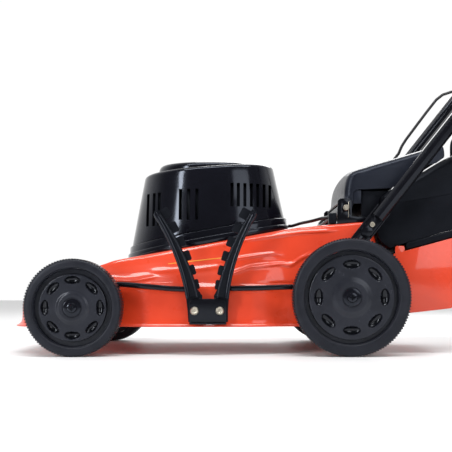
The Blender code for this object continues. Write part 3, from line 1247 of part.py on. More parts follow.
def inset(outline, distance):
    """An outline drawn in by a distance, its points in order round it."""
    count = len(outline)
    turns = sum(outline[i][0] * outline[(i + 1) % count][1] - outline[(i + 1) % count][0] * outline[i][1]
                for i in range(count))
    way = 1 if turns > 0 else -1
    drawn = []
    for i in range(count):
        a, b, c = (Vector(outline[j % count]) for j in (i - 1, i, i + 1))
        first, second = (b - a).normalized(), (c - b).normalized()
        left, right = Vector((-first.y, first.x)) * way, Vector((-second.y, second.x)) * way
        middle = (left + right).normalized()
        drawn.append(tuple(b + middle * (distance / max(middle.dot(left), 0.35))))
    return drawn


def hollow_case(name, outline, opening, look, carrier):
    """A case with side walls, open where the opening's outline leaves it."""
    case = flat_mesh(outline, -COLLECTOR_HALF, COLLECTOR_HALF)
    piece = from_bmesh(name, case, look, carrier)
    inside = COLLECTOR_HALF - COLLECTOR_WALL
    cut(piece, flat_mesh(opening, -inside, inside), "inside")
    return piece


def make_collector():
    low, high = COLLECTOR_PARTING
    foot = [COLLECTOR_FRONT[0], COLLECTOR_FRONT[1], COLLECTOR_FRONT[2], COLLECTOR_FOOT, COLLECTOR_HEEL[0], COLLECTOR_HEEL[1]]
    outline = [low] + foot + [high]
    opening = inset(outline, COLLECTOR_WALL)
    opening[0] = (opening[1][0] + (low[0] - foot[0][0]) * 1.2, low[1] + 0.02)
    opening[-1] = (high[0] - COLLECTOR_WALL, high[1] + 0.02)
    body = hollow_case("collector_body", outline, opening, BLACK_MATTE, BAG)
    cut(body, box_mesh((COLLECTOR_FRONT[0][0] - 0.01, -MOUTH_HALF, MOUTH_FLOOR),
                       (COLLECTOR_FRONT[2][0], MOUTH_HALF, low[1] + 0.01)), "mouth")
    step = GAP / cos(atan2(high[1] - low[1], high[0] - low[0]))
    lower = [(low[0], low[1] + step)] + [(high[0], high[1] + step)]
    crown = list(reversed(COLLECTOR_CROWN))
    outline = lower + crown
    opening = inset(outline, COLLECTOR_WALL)
    opening[0] = (low[0] + COLLECTOR_WALL + 0.002, low[1] - 0.02)
    opening[1] = (high[0] - COLLECTOR_WALL, high[1] - 0.02)
    cover = hollow_case("collector_lid", outline, opening, BLACK_MATTE, BAG)
    top = [(x, between(COLLECTOR_CROWN, x)) for x in (CARRY_START, CARRY_END)]
    rise = max(z for _, z in top) + CARRY_HEIGHT
    path = [(CARRY_START, 0, top[0][1] - COLLECTOR_WALL / 2), (CARRY_START, 0, rise), (CARRY_END, 0, rise),
            (CARRY_END, 0, top[1][1] - COLLECTOR_WALL / 2)]
    grip = tube_mesh(bent_route(path, 0.015, 4), CARRY_RADIUS, 2)
    join(cover, add_mesh("collector_carry", grip, None, BAG, CUTTERS), "carry")

    under = GAP / cos(COLLECTOR_SLOPE)
    start, end = COLLECTOR_FOOT[0], RAIL_REAR
    rise = RAIL_THICKNESS - under
    outline = [(start, rail_foot(start)), (end, rail_foot(end)), (end, rail_foot(end) + rise), (start, rail_foot(start) + rise)]
    rail = flat("collector_rail", outline, -RAIL_HALF, RAIL_HALF, BLACK_MATTE, BAG)
    inner_half, frame = RAIL_HALF - RAIL_FRAME, RAIL_FRAME
    cut(rail, box_mesh((start + frame, -inner_half, rail_foot(start) - 0.05), (end - frame, inner_half, rail_foot(end) + 0.05)),
        "middle")


def make_cables():
    back = seat(BASE_REAR) + BASE_HEIGHT / 2 + GAP
    middle = (CLAMP_LEFT + CLAMP_RIGHT) / 2
    entry = CLAMP_TOP - CLAMP_ENTRY
    lead = [(BASE_REAR + 2 * GAP, 0.0, back), (BASE_REAR + LEAD_ROUTE[0][0], 0.0, back)]
    lead += [(BASE_REAR + behind, y, back + LEAD_RISE) for behind, y in LEAD_ROUTE[1:]]
    lead += [(CLAMP_FRONT - CLAMP_ENTRY, middle, entry), (CLAMP_FRONT - 4 * GAP, middle, entry)]
    tube("motor_lead", smooth_route(lead, 14), CABLE_RADIUS, CABLE_SKIN)
    edge = UPPER_HALF - TUBE_RADIUS - CABLE_RADIUS - CABLE_GAP
    lower = [((CLAMP_FRONT + CLAMP_REAR) / 2, CLAMP_RIGHT + GAP, entry + LEAD_RISE / 6)] + list(CABLE_ROUTE)
    lower += [tuple(handle_point(along, CABLE_SIDE, behind)) for along, behind in CABLE_RISE]
    lower += [tuple(handle_point(-2 * CABLE_OVERLAP, edge)), tuple(handle_point(CABLE_OVERLAP, edge))]
    tube("handle_cable_lower", smooth_route(lower, 42), CABLE_RADIUS, CABLE_SKIN)
    end = SWITCH_DISTANCE - SWITCH_LENGTH / 2
    beside = edge - 2 * CABLE_RADIUS - 2 * GAP
    upper = [handle_point(-CABLE_OVERLAP, beside), handle_point(2 * CABLE_OVERLAP, beside),
             handle_point(end / 3, beside), handle_point(2 * end / 3, (beside + edge - CABLE_ENTRY) / 2),
             handle_point(end - CABLE_ENTRY, edge - CABLE_ENTRY), handle_point(end - 2 * GAP, edge - CABLE_ENTRY)]
    tube("handle_cable_upper", smooth_route(upper, 12), CABLE_RADIUS, CABLE_SKIN, FOLD)


clear_scene()
PARTS = make_collection("lawn_mower")
CUTTERS = make_collection("cutters")
ORIGIN = bpy.data.objects.new("mower_origin", None)
PARTS.objects.link(ORIGIN)
ORIGIN.location = (SHIFT, 0.0, 0.0)
SPIN = axis_empty("blade_axis", COVER_CENTRE, 0.0)
FRONT_HEIGHT = axis_empty("front_axle_axis", *FRONT_PIVOT)
REAR_HEIGHT = axis_empty("rear_axle_axis", *REAR_PIVOT)
FLAP_AXIS = axis_empty("flap_axis", *HINGE)
FOLD = axis_empty("fold_axis", FOLD_POINT.x, FOLD_POINT.z)
KNOBS = {label: axis_empty(f"{label}_knob_axis", FOLD_POINT.x, FOLD_POINT.z, side * HANDLE_HALF)
         for label, side in SIDES.items()}
BAIL_POINT = handle_point(UPPER_LENGTH - BAIL_BACK)
BAIL = axis_empty("bail_axis", BAIL_POINT.x, BAIL_POINT.z)
BUTTON_POINT = handle_point(SWITCH_DISTANCE, UPPER_HALF - TUBE_RADIUS - GAP - SWITCH_WIDTH / 2)
BUTTON = axis_empty("button_axis", BUTTON_POINT.x, BUTTON_POINT.z, BUTTON_POINT.y)
BAG = axis_empty("collector_place", *COLLECTOR_FOOT)

make_deck()
make_shroud()
make_chute()
make_cover()
make_air_guide()
make_motor()
make_blade()
make_axle("front_axle", FRONT_PIVOT, FRONT_AXLE, FRONT_LEVER, FRONT_JOG, SKIRT_HALF_FRONT, FRONT_HEIGHT)
make_axle("rear_axle", REAR_PIVOT, REAR_AXLE, REAR_LEVER, REAR_JOG, SKIRT_HALF_REAR, REAR_HEIGHT)
for label, side in SIDES.items():
    spin = axis_empty(f"front_{label}_wheel_axis", *FRONT_AXLE, side * WHEEL_FACE)
    make_wheel(f"front_{label}", side, FRONT_AXLE, FRONT_WHEEL_RADIUS, FRONT_SIDEWALL, FRONT_WEB_RADIUS,
               FRONT_HUB_RADIUS, FRONT_DIMPLE, FRONT_DIMPLE_CIRCLE, spin, FRONT_HEIGHT)
    spin = axis_empty(f"rear_{label}_wheel_axis", *REAR_AXLE, side * WHEEL_FACE)
    make_wheel(f"rear_{label}", side, REAR_AXLE, REAR_WHEEL_RADIUS, REAR_SIDEWALL, REAR_WEB_RADIUS,
               REAR_HUB_RADIUS, REAR_DIMPLE, REAR_DIMPLE_CIRCLE, spin, REAR_HEIGHT)
make_comb("front_comb", COMB_FRONT_FOOT, COMB_FRONT_TIP, 1, COMB_BOLT_X[0])
make_comb("rear_comb", COMB_REAR_FOOT, COMB_REAR_TIP, -1, COMB_BOLT_X[1])
make_height_bracket()
make_flap()
make_clamp()
make_lower_handle()
make_upper_handle()
make_controls()
make_collector()
make_cables()
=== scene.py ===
import json
from math import atan2, cos, exp, hypot, pi, radians, sin, sqrt, tan

import bmesh
import bpy
from mathutils import Matrix, Vector


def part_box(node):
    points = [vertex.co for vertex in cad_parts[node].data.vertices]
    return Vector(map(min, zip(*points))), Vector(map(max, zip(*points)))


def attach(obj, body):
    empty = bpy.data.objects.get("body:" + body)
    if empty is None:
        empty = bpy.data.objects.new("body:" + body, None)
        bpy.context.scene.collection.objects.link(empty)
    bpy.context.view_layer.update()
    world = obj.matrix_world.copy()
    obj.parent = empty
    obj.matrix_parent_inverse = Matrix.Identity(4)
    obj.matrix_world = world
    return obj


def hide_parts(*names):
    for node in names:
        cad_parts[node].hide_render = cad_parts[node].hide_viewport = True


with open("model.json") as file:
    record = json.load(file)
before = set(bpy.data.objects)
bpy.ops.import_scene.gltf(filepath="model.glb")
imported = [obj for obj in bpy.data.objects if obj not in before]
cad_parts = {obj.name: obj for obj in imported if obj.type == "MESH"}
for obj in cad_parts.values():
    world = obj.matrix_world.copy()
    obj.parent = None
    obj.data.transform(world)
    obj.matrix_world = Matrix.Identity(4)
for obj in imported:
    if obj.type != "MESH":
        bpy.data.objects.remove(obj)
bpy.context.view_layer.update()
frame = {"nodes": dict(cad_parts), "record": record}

nodes = frame["nodes"]

# Lengths along the mower are measured from the front wheels' centres, as the wheels of the frame give them.
FRONT_LOW, FRONT_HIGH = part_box("front_left_tyre")
AHEAD = (FRONT_LOW.x + FRONT_HIGH.x) / 2
WHEELBASE = sum(corner.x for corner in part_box("rear_left_tyre")) / 2 - AHEAD


# Camera, floor and light

PICTURE_SIDE = 452
SHIFT_PIXELS = (-17, 60)
FOCAL_LENGTH = 65.1
CAMERA_BEHIND_FRONT_WHEELS = 0.3296
CAMERA_DISTANCE = 1.825
CAMERA_HEIGHT = 0.137

FLOOR_HALF = 6.0
FLOOR_COLOUR = (0.97, 0.97, 0.975, 1)
FLOOR_ROUGHNESS = 0.42

# The world is grey on the camera's side and bright behind the mower.
GREY_SIDE, BRIGHT_SIDE = -0.35, 0.55
GREY_LIGHT, BRIGHT_LIGHT = 0.15, 1.02

# Each light has a name, its place, what it points at, its power in watts, and its two sides.
LIGHTS = (
    ("softbox_top", (-0.1, -0.8, 1.9), (-0.1, 0.0, 0.2), 36, (2.2, 0.36)),
    ("strip_front", (-1.70, -1.70, 0.95), (-0.3, 0.0, 0.25), 24, (0.30, 1.3)),
    ("strip_rear", (0.95, -2.05, 0.95), (-0.2, 0.0, 0.30), 11, (1.1, 1.1)),
    ("softbox_behind", (0.3, 1.8, 1.6), (0.0, 0.0, 0.3), 22, (1.6, 0.8)),
)


def photograph_camera():
    """A camera that stands where the photograph was taken, level, with the picture's crop as its shift."""
    lens = bpy.data.cameras.new("photograph")
    lens.sensor_width = 36.0
    lens.lens = FOCAL_LENGTH
    lens.shift_x, lens.shift_y = (pixels / PICTURE_SIDE for pixels in SHIFT_PIXELS)
    stand = bpy.data.objects.new("photograph", lens)
    stand.location = (AHEAD + CAMERA_BEHIND_FRONT_WHEELS, -CAMERA_DISTANCE, CAMERA_HEIGHT)
    stand.rotation_euler = (radians(90), 0, 0)
    bpy.context.scene.collection.objects.link(stand)
    bpy.context.scene.camera = stand


def white_floor():
    """A wide white floor that takes a soft shadow and a faint reflection."""
    shape = bmesh.new()
    bmesh.ops.create_grid(shape, x_segments=1, y_segments=1, size=FLOOR_HALF)
    mesh = bpy.data.meshes.new("studio_floor")
    shape.to_mesh(mesh)
    shape.free()
    floor = bpy.data.objects.new("studio_floor", mesh)
    bpy.context.scene.collection.objects.link(floor)
    white = bpy.data.materials.new("studio_white")
    white.use_nodes = True
    shader = white.node_tree.nodes["Principled BSDF"]
    shader.inputs["Base Color"].default_value = FLOOR_COLOUR
    shader.inputs["Roughness"].default_value = FLOOR_ROUGHNESS
    mesh.materials.append(white)


def white_world():
    """A white world whose strength rises from the camera's side to the far side."""
    world = bpy.data.worlds.new("studio")
    world.use_nodes = True
    tree = world.node_tree
    background = tree.nodes["Background"]
    background.inputs["Color"].default_value = (1, 1, 1, 1)
    place = tree.nodes.new("ShaderNodeTexCoord")
    parts = tree.nodes.new("ShaderNodeSeparateXYZ")
    sweep = tree.nodes.new("ShaderNodeMapRange")
    sweep.interpolation_type = "SMOOTHSTEP"
    sweep.inputs["From Min"].default_value = GREY_SIDE
    sweep.inputs["From Max"].default_value = BRIGHT_SIDE
    sweep.inputs["To Min"].default_value = GREY_LIGHT
    sweep.inputs["To Max"].default_value = BRIGHT_LIGHT
    tree.links.new(place.outputs["Generated"], parts.inputs["Vector"])
    tree.links.new(parts.outputs["Y"], sweep.inputs["Value"])
    tree.links.new(sweep.outputs["Result"], background.inputs["Strength"])
    bpy.context.scene.world = world


def studio_lights():
    """The four lights of the studio."""
    for name, place, aim, power, size in LIGHTS:
        light = bpy.data.lights.new(name, "AREA")
        light.shape = "RECTANGLE"
        light.size, light.size_y = size
        light.energy = power
        lamp = bpy.data.objects.new(name, light)
        lamp.location = place
        lamp.rotation_euler = (Vector(aim) - Vector(place)).to_track_quat("-Z", "Y").to_euler()
        bpy.context.scene.collection.objects.link(lamp)


photograph_camera()
white_floor()
white_world()
studio_lights()
bpy.context.scene.view_settings.view_transform = "Standard"


# Finishes


def finish(name, colour, deep, rough, metal=0.0, coat=0.0, coat_rough=0.1, patch=18.0, grain=900.0,
           relief=0.05, sheen=0.0, stretch=(1, 1, 1), gleam=0.5, tint=(1, 1, 1)):
    """A shader whose colour drifts between two tones, with a fine grain in its relief."""
    made = bpy.data.materials.new(name)
    made.use_nodes = True
    tree = made.node_tree
    shader = tree.nodes["Principled BSDF"]
    shader.inputs["Metallic"].default_value = metal
    shader.inputs["Coat Weight"].default_value = coat
    shader.inputs["Coat Roughness"].default_value = coat_rough
    shader.inputs["Sheen Weight"].default_value = sheen
    shader.inputs["Specular IOR Level"].default_value = gleam
    shader.inputs["Specular Tint"].default_value = (*tint, 1)
    place = tree.nodes.new("ShaderNodeTexCoord")
    mapping = tree.nodes.new("ShaderNodeMapping")
    mapping.inputs["Scale"].default_value = stretch
    tree.links.new(place.outputs["Object"], mapping.inputs["Vector"])

    def noise(scale, detail):
        made_noise = tree.nodes.new("ShaderNodeTexNoise")
        made_noise.inputs["Scale"].default_value = scale
        made_noise.inputs["Detail"].default_value = detail
        tree.links.new(mapping.outputs["Vector"], made_noise.inputs["Vector"])
        return made_noise

    drift = noise(patch, 4)
    tones = tree.nodes.new("ShaderNodeValToRGB")
    tones.color_ramp.elements[0].position = 0.35
    tones.color_ramp.elements[0].color = (*deep, 1)
    tones.color_ramp.elements[1].position = 0.62
    tones.color_ramp.elements[1].color = (*colour, 1)
    tree.links.new(drift.outputs["Fac"], tones.inputs["Fac"])
    tree.links.new(tones.outputs["Color"], shader.inputs["Base Color"])
    spread = tree.nodes.new("ShaderNodeMapRange")
    spread.inputs["From Min"].default_value = 0.3
    spread.inputs["From Max"].default_value = 0.7
    spread.inputs["To Min"].default_value = rough
    spread.inputs["To Max"].default_value = rough * 1.25
    tree.links.new(noise(patch * 4, 3).outputs["Fac"], spread.inputs["Value"])
    tree.links.new(spread.outputs["Result"], shader.inputs["Roughness"])
    bump = tree.nodes.new("ShaderNodeBump")
    bump.inputs["Strength"].default_value = relief
    bump.inputs["Distance"].default_value = 0.001
    tree.links.new(noise(grain, 2).outputs["Fac"], bump.inputs["Height"])
    tree.links.new(bump.outputs["Normal"], shader.inputs["Normal"])
    return made


BLUED = (0.74, 0.83, 1.0)
PALE_BLUED = (0.86, 0.91, 1.0)
ENAMEL = finish("orange_enamel", (0.72, 0.058, 0.019), (0.62, 0.043, 0.013), 0.26,
                coat=0.60, coat_rough=0.05, patch=6, grain=420, relief=0.03, gleam=0.25)
TUBE_PAINT = finish("black_tube_paint", (0.0042, 0.0042, 0.0062), (0.0028, 0.0028, 0.0042), 0.17,
                    coat=0.06, coat_rough=0.10, patch=30, grain=1200, relief=0.03, gleam=0.26, tint=BLUED)
HOOD_GLOSS = finish("black_hood_moulding", (0.0042, 0.0042, 0.0070), (0.0030, 0.0030, 0.0050), 0.12,
                    coat=0.05, coat_rough=0.06, patch=10, grain=260, relief=0.02, gleam=0.34, tint=BLUED)
HOOD_MATTE = finish("satin_hood_moulding", (0.0095, 0.0110, 0.0180), (0.0070, 0.0082, 0.0135), 0.30,
                    patch=14, grain=1300, relief=0.14, gleam=0.24, tint=BLUED)
MOULDING = finish("grained_black_moulding", (0.0050, 0.0055, 0.0078), (0.0034, 0.0038, 0.0054), 0.38,
                  patch=24, grain=1500, relief=0.16, gleam=0.11, tint=BLUED)
WHEEL_MOULDING = finish("wheel_moulding", (0.0170, 0.0183, 0.0250), (0.0125, 0.0136, 0.0188), 0.22,
                        patch=30, grain=1400, relief=0.08, gleam=0.30, tint=PALE_BLUED)
# The bowls' finish: glossier than the web, and darker in colour as painted shade inside the bowls.
GLOSSY_BOWL_PAINTED_SHADE = finish("glossy_bowl_painted_shade", (0.0040, 0.0045, 0.0065), (0.0030, 0.0034, 0.0050), 0.12,
                       patch=30, grain=1400, relief=0.04, gleam=0.34, tint=PALE_BLUED)
TREAD = finish("tread_moulding", (0.0140, 0.0150, 0.0205), (0.0104, 0.0112, 0.0156), 0.34,
               patch=40, grain=1100, relief=0.18, gleam=0.20, tint=PALE_BLUED)
ZINC = finish("zinc_plate", (0.50, 0.46, 0.38), (0.34, 0.31, 0.26), 0.32,
              metal=1.0, patch=160, grain=900, relief=0.08)
STEEL = finish("brushed_blade_steel", (0.50, 0.50, 0.50), (0.33, 0.33, 0.34), 0.32,
               metal=1.0, patch=60, grain=700, relief=0.12, stretch=(0.15, 1, 1))
CASTING = finish("cast_aluminium", (0.48, 0.49, 0.51), (0.34, 0.35, 0.36), 0.45,
                 metal=1.0, patch=90, grain=500, relief=0.3)
FOAM = finish("foam_grip", (0.022, 0.022, 0.024), (0.012, 0.012, 0.013), 0.85,
              patch=60, grain=1300, relief=0.5, sheen=0.3, gleam=0.3)
CABLE_SKIN = finish("cable_skin", (0.010, 0.010, 0.013), (0.006, 0.006, 0.008), 0.38,
                    patch=60, grain=1600, relief=0.1, gleam=0.4)
BUTTON_RED = finish("button_moulding", (0.55, 0.030, 0.022), (0.40, 0.020, 0.015), 0.28,
                    patch=60, grain=900, relief=0.05)
CAPACITOR_SHELL = finish("capacitor_shell", (0.50, 0.50, 0.53), (0.40, 0.40, 0.42), 0.40,
                         patch=60, grain=900, relief=0.05)
AMBER_TRIM = finish("amber_trim", (0.85, 0.36, 0.030), (0.74, 0.30, 0.022), 0.30,
                    patch=30, grain=900, relief=0.03)

FINISHES = {
    "orange_paint": ENAMEL, "black_paint": TUBE_PAINT, "black_gloss": HOOD_GLOSS, "black_matte": MOULDING,
    "wheel_plastic": WHEEL_MOULDING, "tyre": TREAD, "zinc": ZINC, "steel": STEEL, "foam": FOAM,
    "cable": CABLE_SKIN, "red_button": BUTTON_RED, "cast_aluminium": CASTING, "capacitor": CAPACITOR_SHELL,
}
SLOT_OF = {entry["node"]: entry["material_slot"] for entry in frame["record"]["subparts"]}
BODIES = frame["record"]["behaviour"]["bodies"]
BODY_OF = {node: body for body, members in BODIES.items() for node in members}
for node, part in nodes.items():
    part.data.materials.clear()
    part.data.materials.append(FINISHES[SLOT_OF[node]])
    part.data.shade_smooth()
    part.data.set_sharp_from_angle(angle=radians(35))


# Tools for the pieces


SAME_SPOT = 0.000002
LONGEST_EASING = 0.45
BENT_EDGE = radians(28)


def ring(shape, spots):
    """A closed ring of edges through the spots."""
    made = bmesh.ops.create_circle(shape, cap_ends=False, segments=len(spots), radius=1.0)["verts"]
    for corner, spot in zip(made, spots):
        corner.co = spot
    return made


def drawn_out(corner, fresh):
    """The new corner that a corner of the last row was drawn out to."""
    return next(edge.other_vert(corner) for edge in corner.link_edges if edge.other_vert(corner) in fresh)


def skin(rows, closed=True, start=False, end=False):
    """A sheet drawn from its first row of points through all the others."""
    shape = bmesh.new()
    if closed:
        corners = ring(shape, rows[0])
    else:
        corners = [shape.verts.new(spot) for spot in rows[0]]
        for pair in zip(corners, corners[1:]):
            shape.edges.new(pair)
    first = corners
    edges = list(shape.edges)
    for spots in rows[1:]:
        grown = bmesh.ops.extrude_edge_only(shape, edges=edges)["geom"]
        fresh = {item for item in grown if isinstance(item, bmesh.types.BMVert)}
        edges = [item for item in grown if isinstance(item, bmesh.types.BMEdge)]
        corners = [drawn_out(corner, fresh) for corner in corners]
        for corner, spot in zip(corners, spots):
            corner.co = spot
    if start:
        shape.faces.new(first)
    if end:
        shape.faces.new(corners)
    return shape


def rounded(outline, reach, count=3, closed=False):
    """An outline whose corners are eased, each over less than half of the edges beside it."""
    points = [Vector(point) for point in outline]
    eased = []
    for k, corner in enumerate(points):
        if not closed and k in (0, len(points) - 1):
            eased.append(tuple(corner))
            continue
        back, on = points[k - 1] - corner, points[(k + 1) % len(points)] - corner
        start = corner + back.normalized() * min(reach, back.length * LONGEST_EASING)
        end = corner + on.normalized() * min(reach, on.length * LONGEST_EASING)
        for step in range(count + 1):
            t = step / count
            eased.append(tuple((1 - t) ** 2 * start + 2 * t * (1 - t) * corner + t * t * end))
    return eased


def flowing(points, count):
    """Evenly spread points on a smooth line through the given ones."""
    points = [Vector(point) for point in points]
    ends = [2 * points[0] - points[1]] + points + [2 * points[-1] - points[-2]]
    fine_steps = 24
    fine = []
    for a, b, c, d in zip(ends, ends[1:], ends[2:], ends[3:]):
        for k in range(fine_steps):
            t = k / fine_steps
            fine.append(0.5 * (2 * b + (c - a) * t + (2 * a - 5 * b + 4 * c - d) * t * t
                               + (3 * b - a - 3 * c + d) * t ** 3))
    fine.append(points[-1])
    lengths = [0.0]
    for a, b in zip(fine, fine[1:]):
        lengths.append(lengths[-1] + (b - a).length)
    spread, k = [], 0
    for i in range(count):
        want = lengths[-1] * i / (count - 1)
        while k < len(fine) - 2 and lengths[k + 1] < want:
            k += 1
        spread.append(fine[k].lerp(fine[k + 1], (want - lengths[k]) / (lengths[k + 1] - lengths[k])))
    return spread


def towards(direction):
    """The turn that takes +Z to a direction."""
    return Vector(direction).to_track_quat("Z", "Y").to_matrix().to_4x4()


def gather(shape, other):
    """Add one shape to another."""
    mesh = bpy.data.meshes.new("gathered")
    other.to_mesh(mesh)
    other.free()
    shape.from_mesh(mesh)
    bpy.data.meshes.remove(mesh)
    return shape


def turned(profile, centre, direction, steps=96, closed=True):
    """A turned piece from (radius, height) pairs."""
    shape = bmesh.new()
    corners = [shape.verts.new((radius, 0.0, height)) for radius, height in profile]
    for pair in zip(corners, corners[1:] + corners[:1] if closed else corners[1:]):
        shape.edges.new(pair)
    bmesh.ops.spin(shape, geom=list(shape.verts) + list(shape.edges), cent=(0, 0, 0), axis=(0, 0, 1),
                   angle=2 * pi, steps=steps, use_merge=True)
    bmesh.ops.remove_doubles(shape, verts=shape.verts, dist=SAME_SPOT)
    bmesh.ops.transform(shape, matrix=Matrix.Translation(centre) @ towards(direction), verts=shape.verts)
    return shape


def pipe(points, radius, sides=24):
    """A round bar along points, with one radius or a radius for each point."""
    points = [Vector(point) for point in points]
    radii = radius if isinstance(radius, list) else [radius] * len(points)
    rows = []
    across = None
    for k, point in enumerate(points):
        along = (points[min(k + 1, len(points) - 1)] - points[max(k - 1, 0)]).normalized()
        if across is None:
            across = along.orthogonal().normalized()
        else:
            across = (across - along * across.dot(along)).normalized()
        other = along.cross(across)
        turns = [2 * pi * s / sides for s in range(sides)]
        rows.append([point + radii[k] * (across * cos(turn) + other * sin(turn)) for turn in turns])
    return skin(rows, start=True, end=True)


def slab(outline, low, high, bevel, segments=3):
    """An outline in the mower's side view given a thickness across it, with round edges."""
    shape = bmesh.new()
    face = shape.faces.new([shape.verts.new((x, low, z)) for x, z in outline])
    grown = bmesh.ops.extrude_face_region(shape, geom=[face])["geom"]
    far = [item for item in grown if isinstance(item, bmesh.types.BMVert)]
    bmesh.ops.translate(shape, vec=(0, high - low, 0), verts=far)
    bmesh.ops.recalc_face_normals(shape, faces=shape.faces)
    rims = [edge for edge in shape.edges if edge.calc_face_angle(0) > radians(50)]
    bmesh.ops.bevel(shape, geom=rims, offset=bevel, offset_type="OFFSET", affect="EDGES", segments=segments,
                    profile=0.5, material=-1, clamp_overlap=True)
    return shape


def touching(shape, low, high):
    """The faces whose bounds reach into a box."""
    found = []
    for face in shape.faces:
        spots = [corner.co for corner in face.verts]
        if all(min(spot[i] for spot in spots) < high[i] and max(spot[i] for spot in spots) > low[i]
               for i in range(3)):
            found.append(face)
    return found


def window(shape, low, high):
    """An opening with straight edges: the skin inside the box goes."""
    low, high = Vector(low), Vector(high)
    for axis in range(3):
        for limit in (low[axis], high[axis]):
            faces = touching(shape, low, high)
            geometry = faces + list({edge for face in faces for edge in face.edges})
            geometry += list({corner for face in faces for corner in face.verts})
            square = Vector((axis == 0, axis == 1, axis == 2))
            bmesh.ops.bisect_plane(shape, geom=geometry, dist=0.0000001, plane_co=square * limit,
                                   plane_no=square)
    inside = []
    for face in shape.faces:
        middle = face.calc_center_median()
        if all(low[i] < middle[i] < high[i] for i in range(3)):
            inside.append(face)
    bmesh.ops.delete(shape, geom=inside, context="FACES")


def piece(name, shape, body, *stands_for, look=None, sharp=35, wall=0.0, placed=False):
    """Finish a shape as a piece of its own that moves with a body."""
    if not placed:
        bmesh.ops.translate(shape, vec=(AHEAD, 0.0, 0.0), verts=shape.verts)
    bmesh.ops.remove_doubles(shape, verts=shape.verts, dist=SAME_SPOT)
    bmesh.ops.recalc_face_normals(shape, faces=shape.faces)
    mesh = bpy.data.meshes.new(name)
    shape.edges.index_update()
    borders = [edge.index for edge in shape.edges if edge.is_boundary]
    shape.to_mesh(mesh)
    shape.free()
    mesh.materials.append(look or FINISHES[SLOT_OF[stands_for[0]]])
    mesh.shade_smooth()
    mesh.set_sharp_from_angle(angle=radians(sharp))
    for border in borders:
        mesh.edges[border].use_edge_sharp = True
    made = bpy.data.objects.new(name, mesh)
    bpy.context.scene.collection.objects.link(made)
    if wall:
        thick = made.modifiers.new("wall", "SOLIDIFY")
        thick.thickness = wall
        thick.offset = -1.0
        thick.use_even_offset = True
    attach(made, body)
    if stands_for:
        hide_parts(*stands_for)
    return made


def slimmed(shape, reach):
    """Draw the heads of a bar that lies across the mower in to a radius."""
    places = [corner.co for corner in shape.verts]
    middle_x = (min(place.x for place in places) + max(place.x for place in places)) / 2
    middle_z = (min(place.z for place in places) + max(place.z for place in places)) / 2
    for place in places:
        off = hypot(place.x - middle_x, place.z - middle_z)
        if off > reach:
            place.x = middle_x + (place.x - middle_x) * reach / off
            place.z = middle_z + (place.z - middle_z) * reach / off


def sunk(shape, reach, depth=0.0018, slope=0.0006):
    """Press a round recess into the outer end of a bolt that lies across the mower."""
    outermost = min(corner.co.y for corner in shape.verts)
    shape.faces.ensure_lookup_table()
    outward = [face for face in shape.faces if face.normal.y < -0.99]
    ends = [face for face in outward if face.calc_center_median().y < outermost + 0.0002]
    end = max(ends, key=lambda face: face.calc_area())
    wide = sqrt(end.calc_area() / pi)
    bmesh.ops.inset_individual(shape, faces=[end], thickness=wide - reach)
    bmesh.ops.inset_individual(shape, faces=[end], thickness=slope, depth=-depth)


def softened(node, width=0.0006, head=None, recess=None):
    """A node's own shape with its facets joined and its edges eased."""
    shape = bmesh.new()
    shape.from_mesh(nodes[node].data)
    bmesh.ops.remove_doubles(shape, verts=shape.verts, dist=0.00001)
    bmesh.ops.dissolve_limit(shape, angle_limit=radians(1), verts=shape.verts, edges=shape.edges)
    outer_edges = [edge for edge in shape.edges if len(edge.link_faces) == 2 and edge.is_convex]
    rims = [edge for edge in outer_edges if edge.calc_face_angle(0) > BENT_EDGE]
    bmesh.ops.bevel(shape, geom=rims, offset=width, offset_type="OFFSET", affect="EDGES", segments=2,
                    profile=0.5, material=-1, clamp_overlap=True)
    if head:
        slimmed(shape, head)
    if recess:
        sunk(shape, recess)
    return piece(f"{node}_finished", shape, BODY_OF[node], node, placed=True)


def smooth_step(x, start, end):
    """A share that rises smoothly from 0 at the start to 1 at the end."""
    t = min(max((x - start) / (end - start), 0.0), 1.0)
    return t * t * (3 - 2 * t)


def between(table, x):
    """Straight-line reading of a table of (x, value) pairs."""
    if x <= table[0][0]:
        return table[0][1]
    for (x0, v0), (x1, v1) in zip(table, table[1:]):
        if x <= x1:
            return v0 + (v1 - v0) * (x - x0) / (x1 - x0)
    return table[-1][1]


# The pressed deck

SEAT_START = (0.095, 0.195)
CREST_SLOPE = tan(radians(10.3))
CREST_LINE = ((-0.140, 0.122), (-0.085, 0.148), (-0.030, 0.163), (0.038, 0.1795), (0.065, 0.1896))
CREST_TAIL = ((0.440, 0.2577), (0.497, 0.262), (0.571, 0.268), (0.640, 0.271))
SHOULDER_HALF = 0.155
FRONT_HALF, WIDEST_HALF, REAR_HALF = 0.188, 0.200, 0.180
WIDENING, NARROWING = (0.080, 0.150), (0.340, 0.420)
NOSE_ROUNDING, TAIL_ROUNDING = 0.070, 0.016
DECK_REAR = 0.634
UPPER_REAR = 0.610
NOSE = -0.127
LIP_NOSE, SHOULDER_NOSE, TOP_NOSE = -0.140, -0.025, 0.020
LIP_FLARE = 0.006
EDGE_ROUNDING = 0.012
LIP_HEIGHT, SKIRT_HEIGHT = 0.057, 0.063
NOSE_WAIST, WAIST_RISE = 0.110, 0.026
LEDGE = 0.007
FRONT_PIVOT = (-0.063, 0.118)
REAR_PIVOT = (0.602, 0.138)
PIVOT_HOLE_HALF = 0.0106
SHAFT_HOLE_HALF = 0.014
CHUTE_HALF = 0.1253
CHUTE_BOTTOM, CHUTE_TOP = 0.192, 0.250
DECK_SHEET = 0.002
SIDE_ROWS = 26

# Each table reads at a share of the side's height, from 0 at its foot to 1 at the shoulder.
SIDE_FRONTS = ((0.05, -0.120), (0.45, -0.092), (0.90, -0.048))
SIDE_REARS = ((0.05, 0.627), (0.45, 0.610), (0.90, 0.5955))
SIDE_DRAWN = ((0.05, 0.16), (0.25, 0.35), (0.45, 0.55), (0.70, 0.745), (0.90, 0.88))

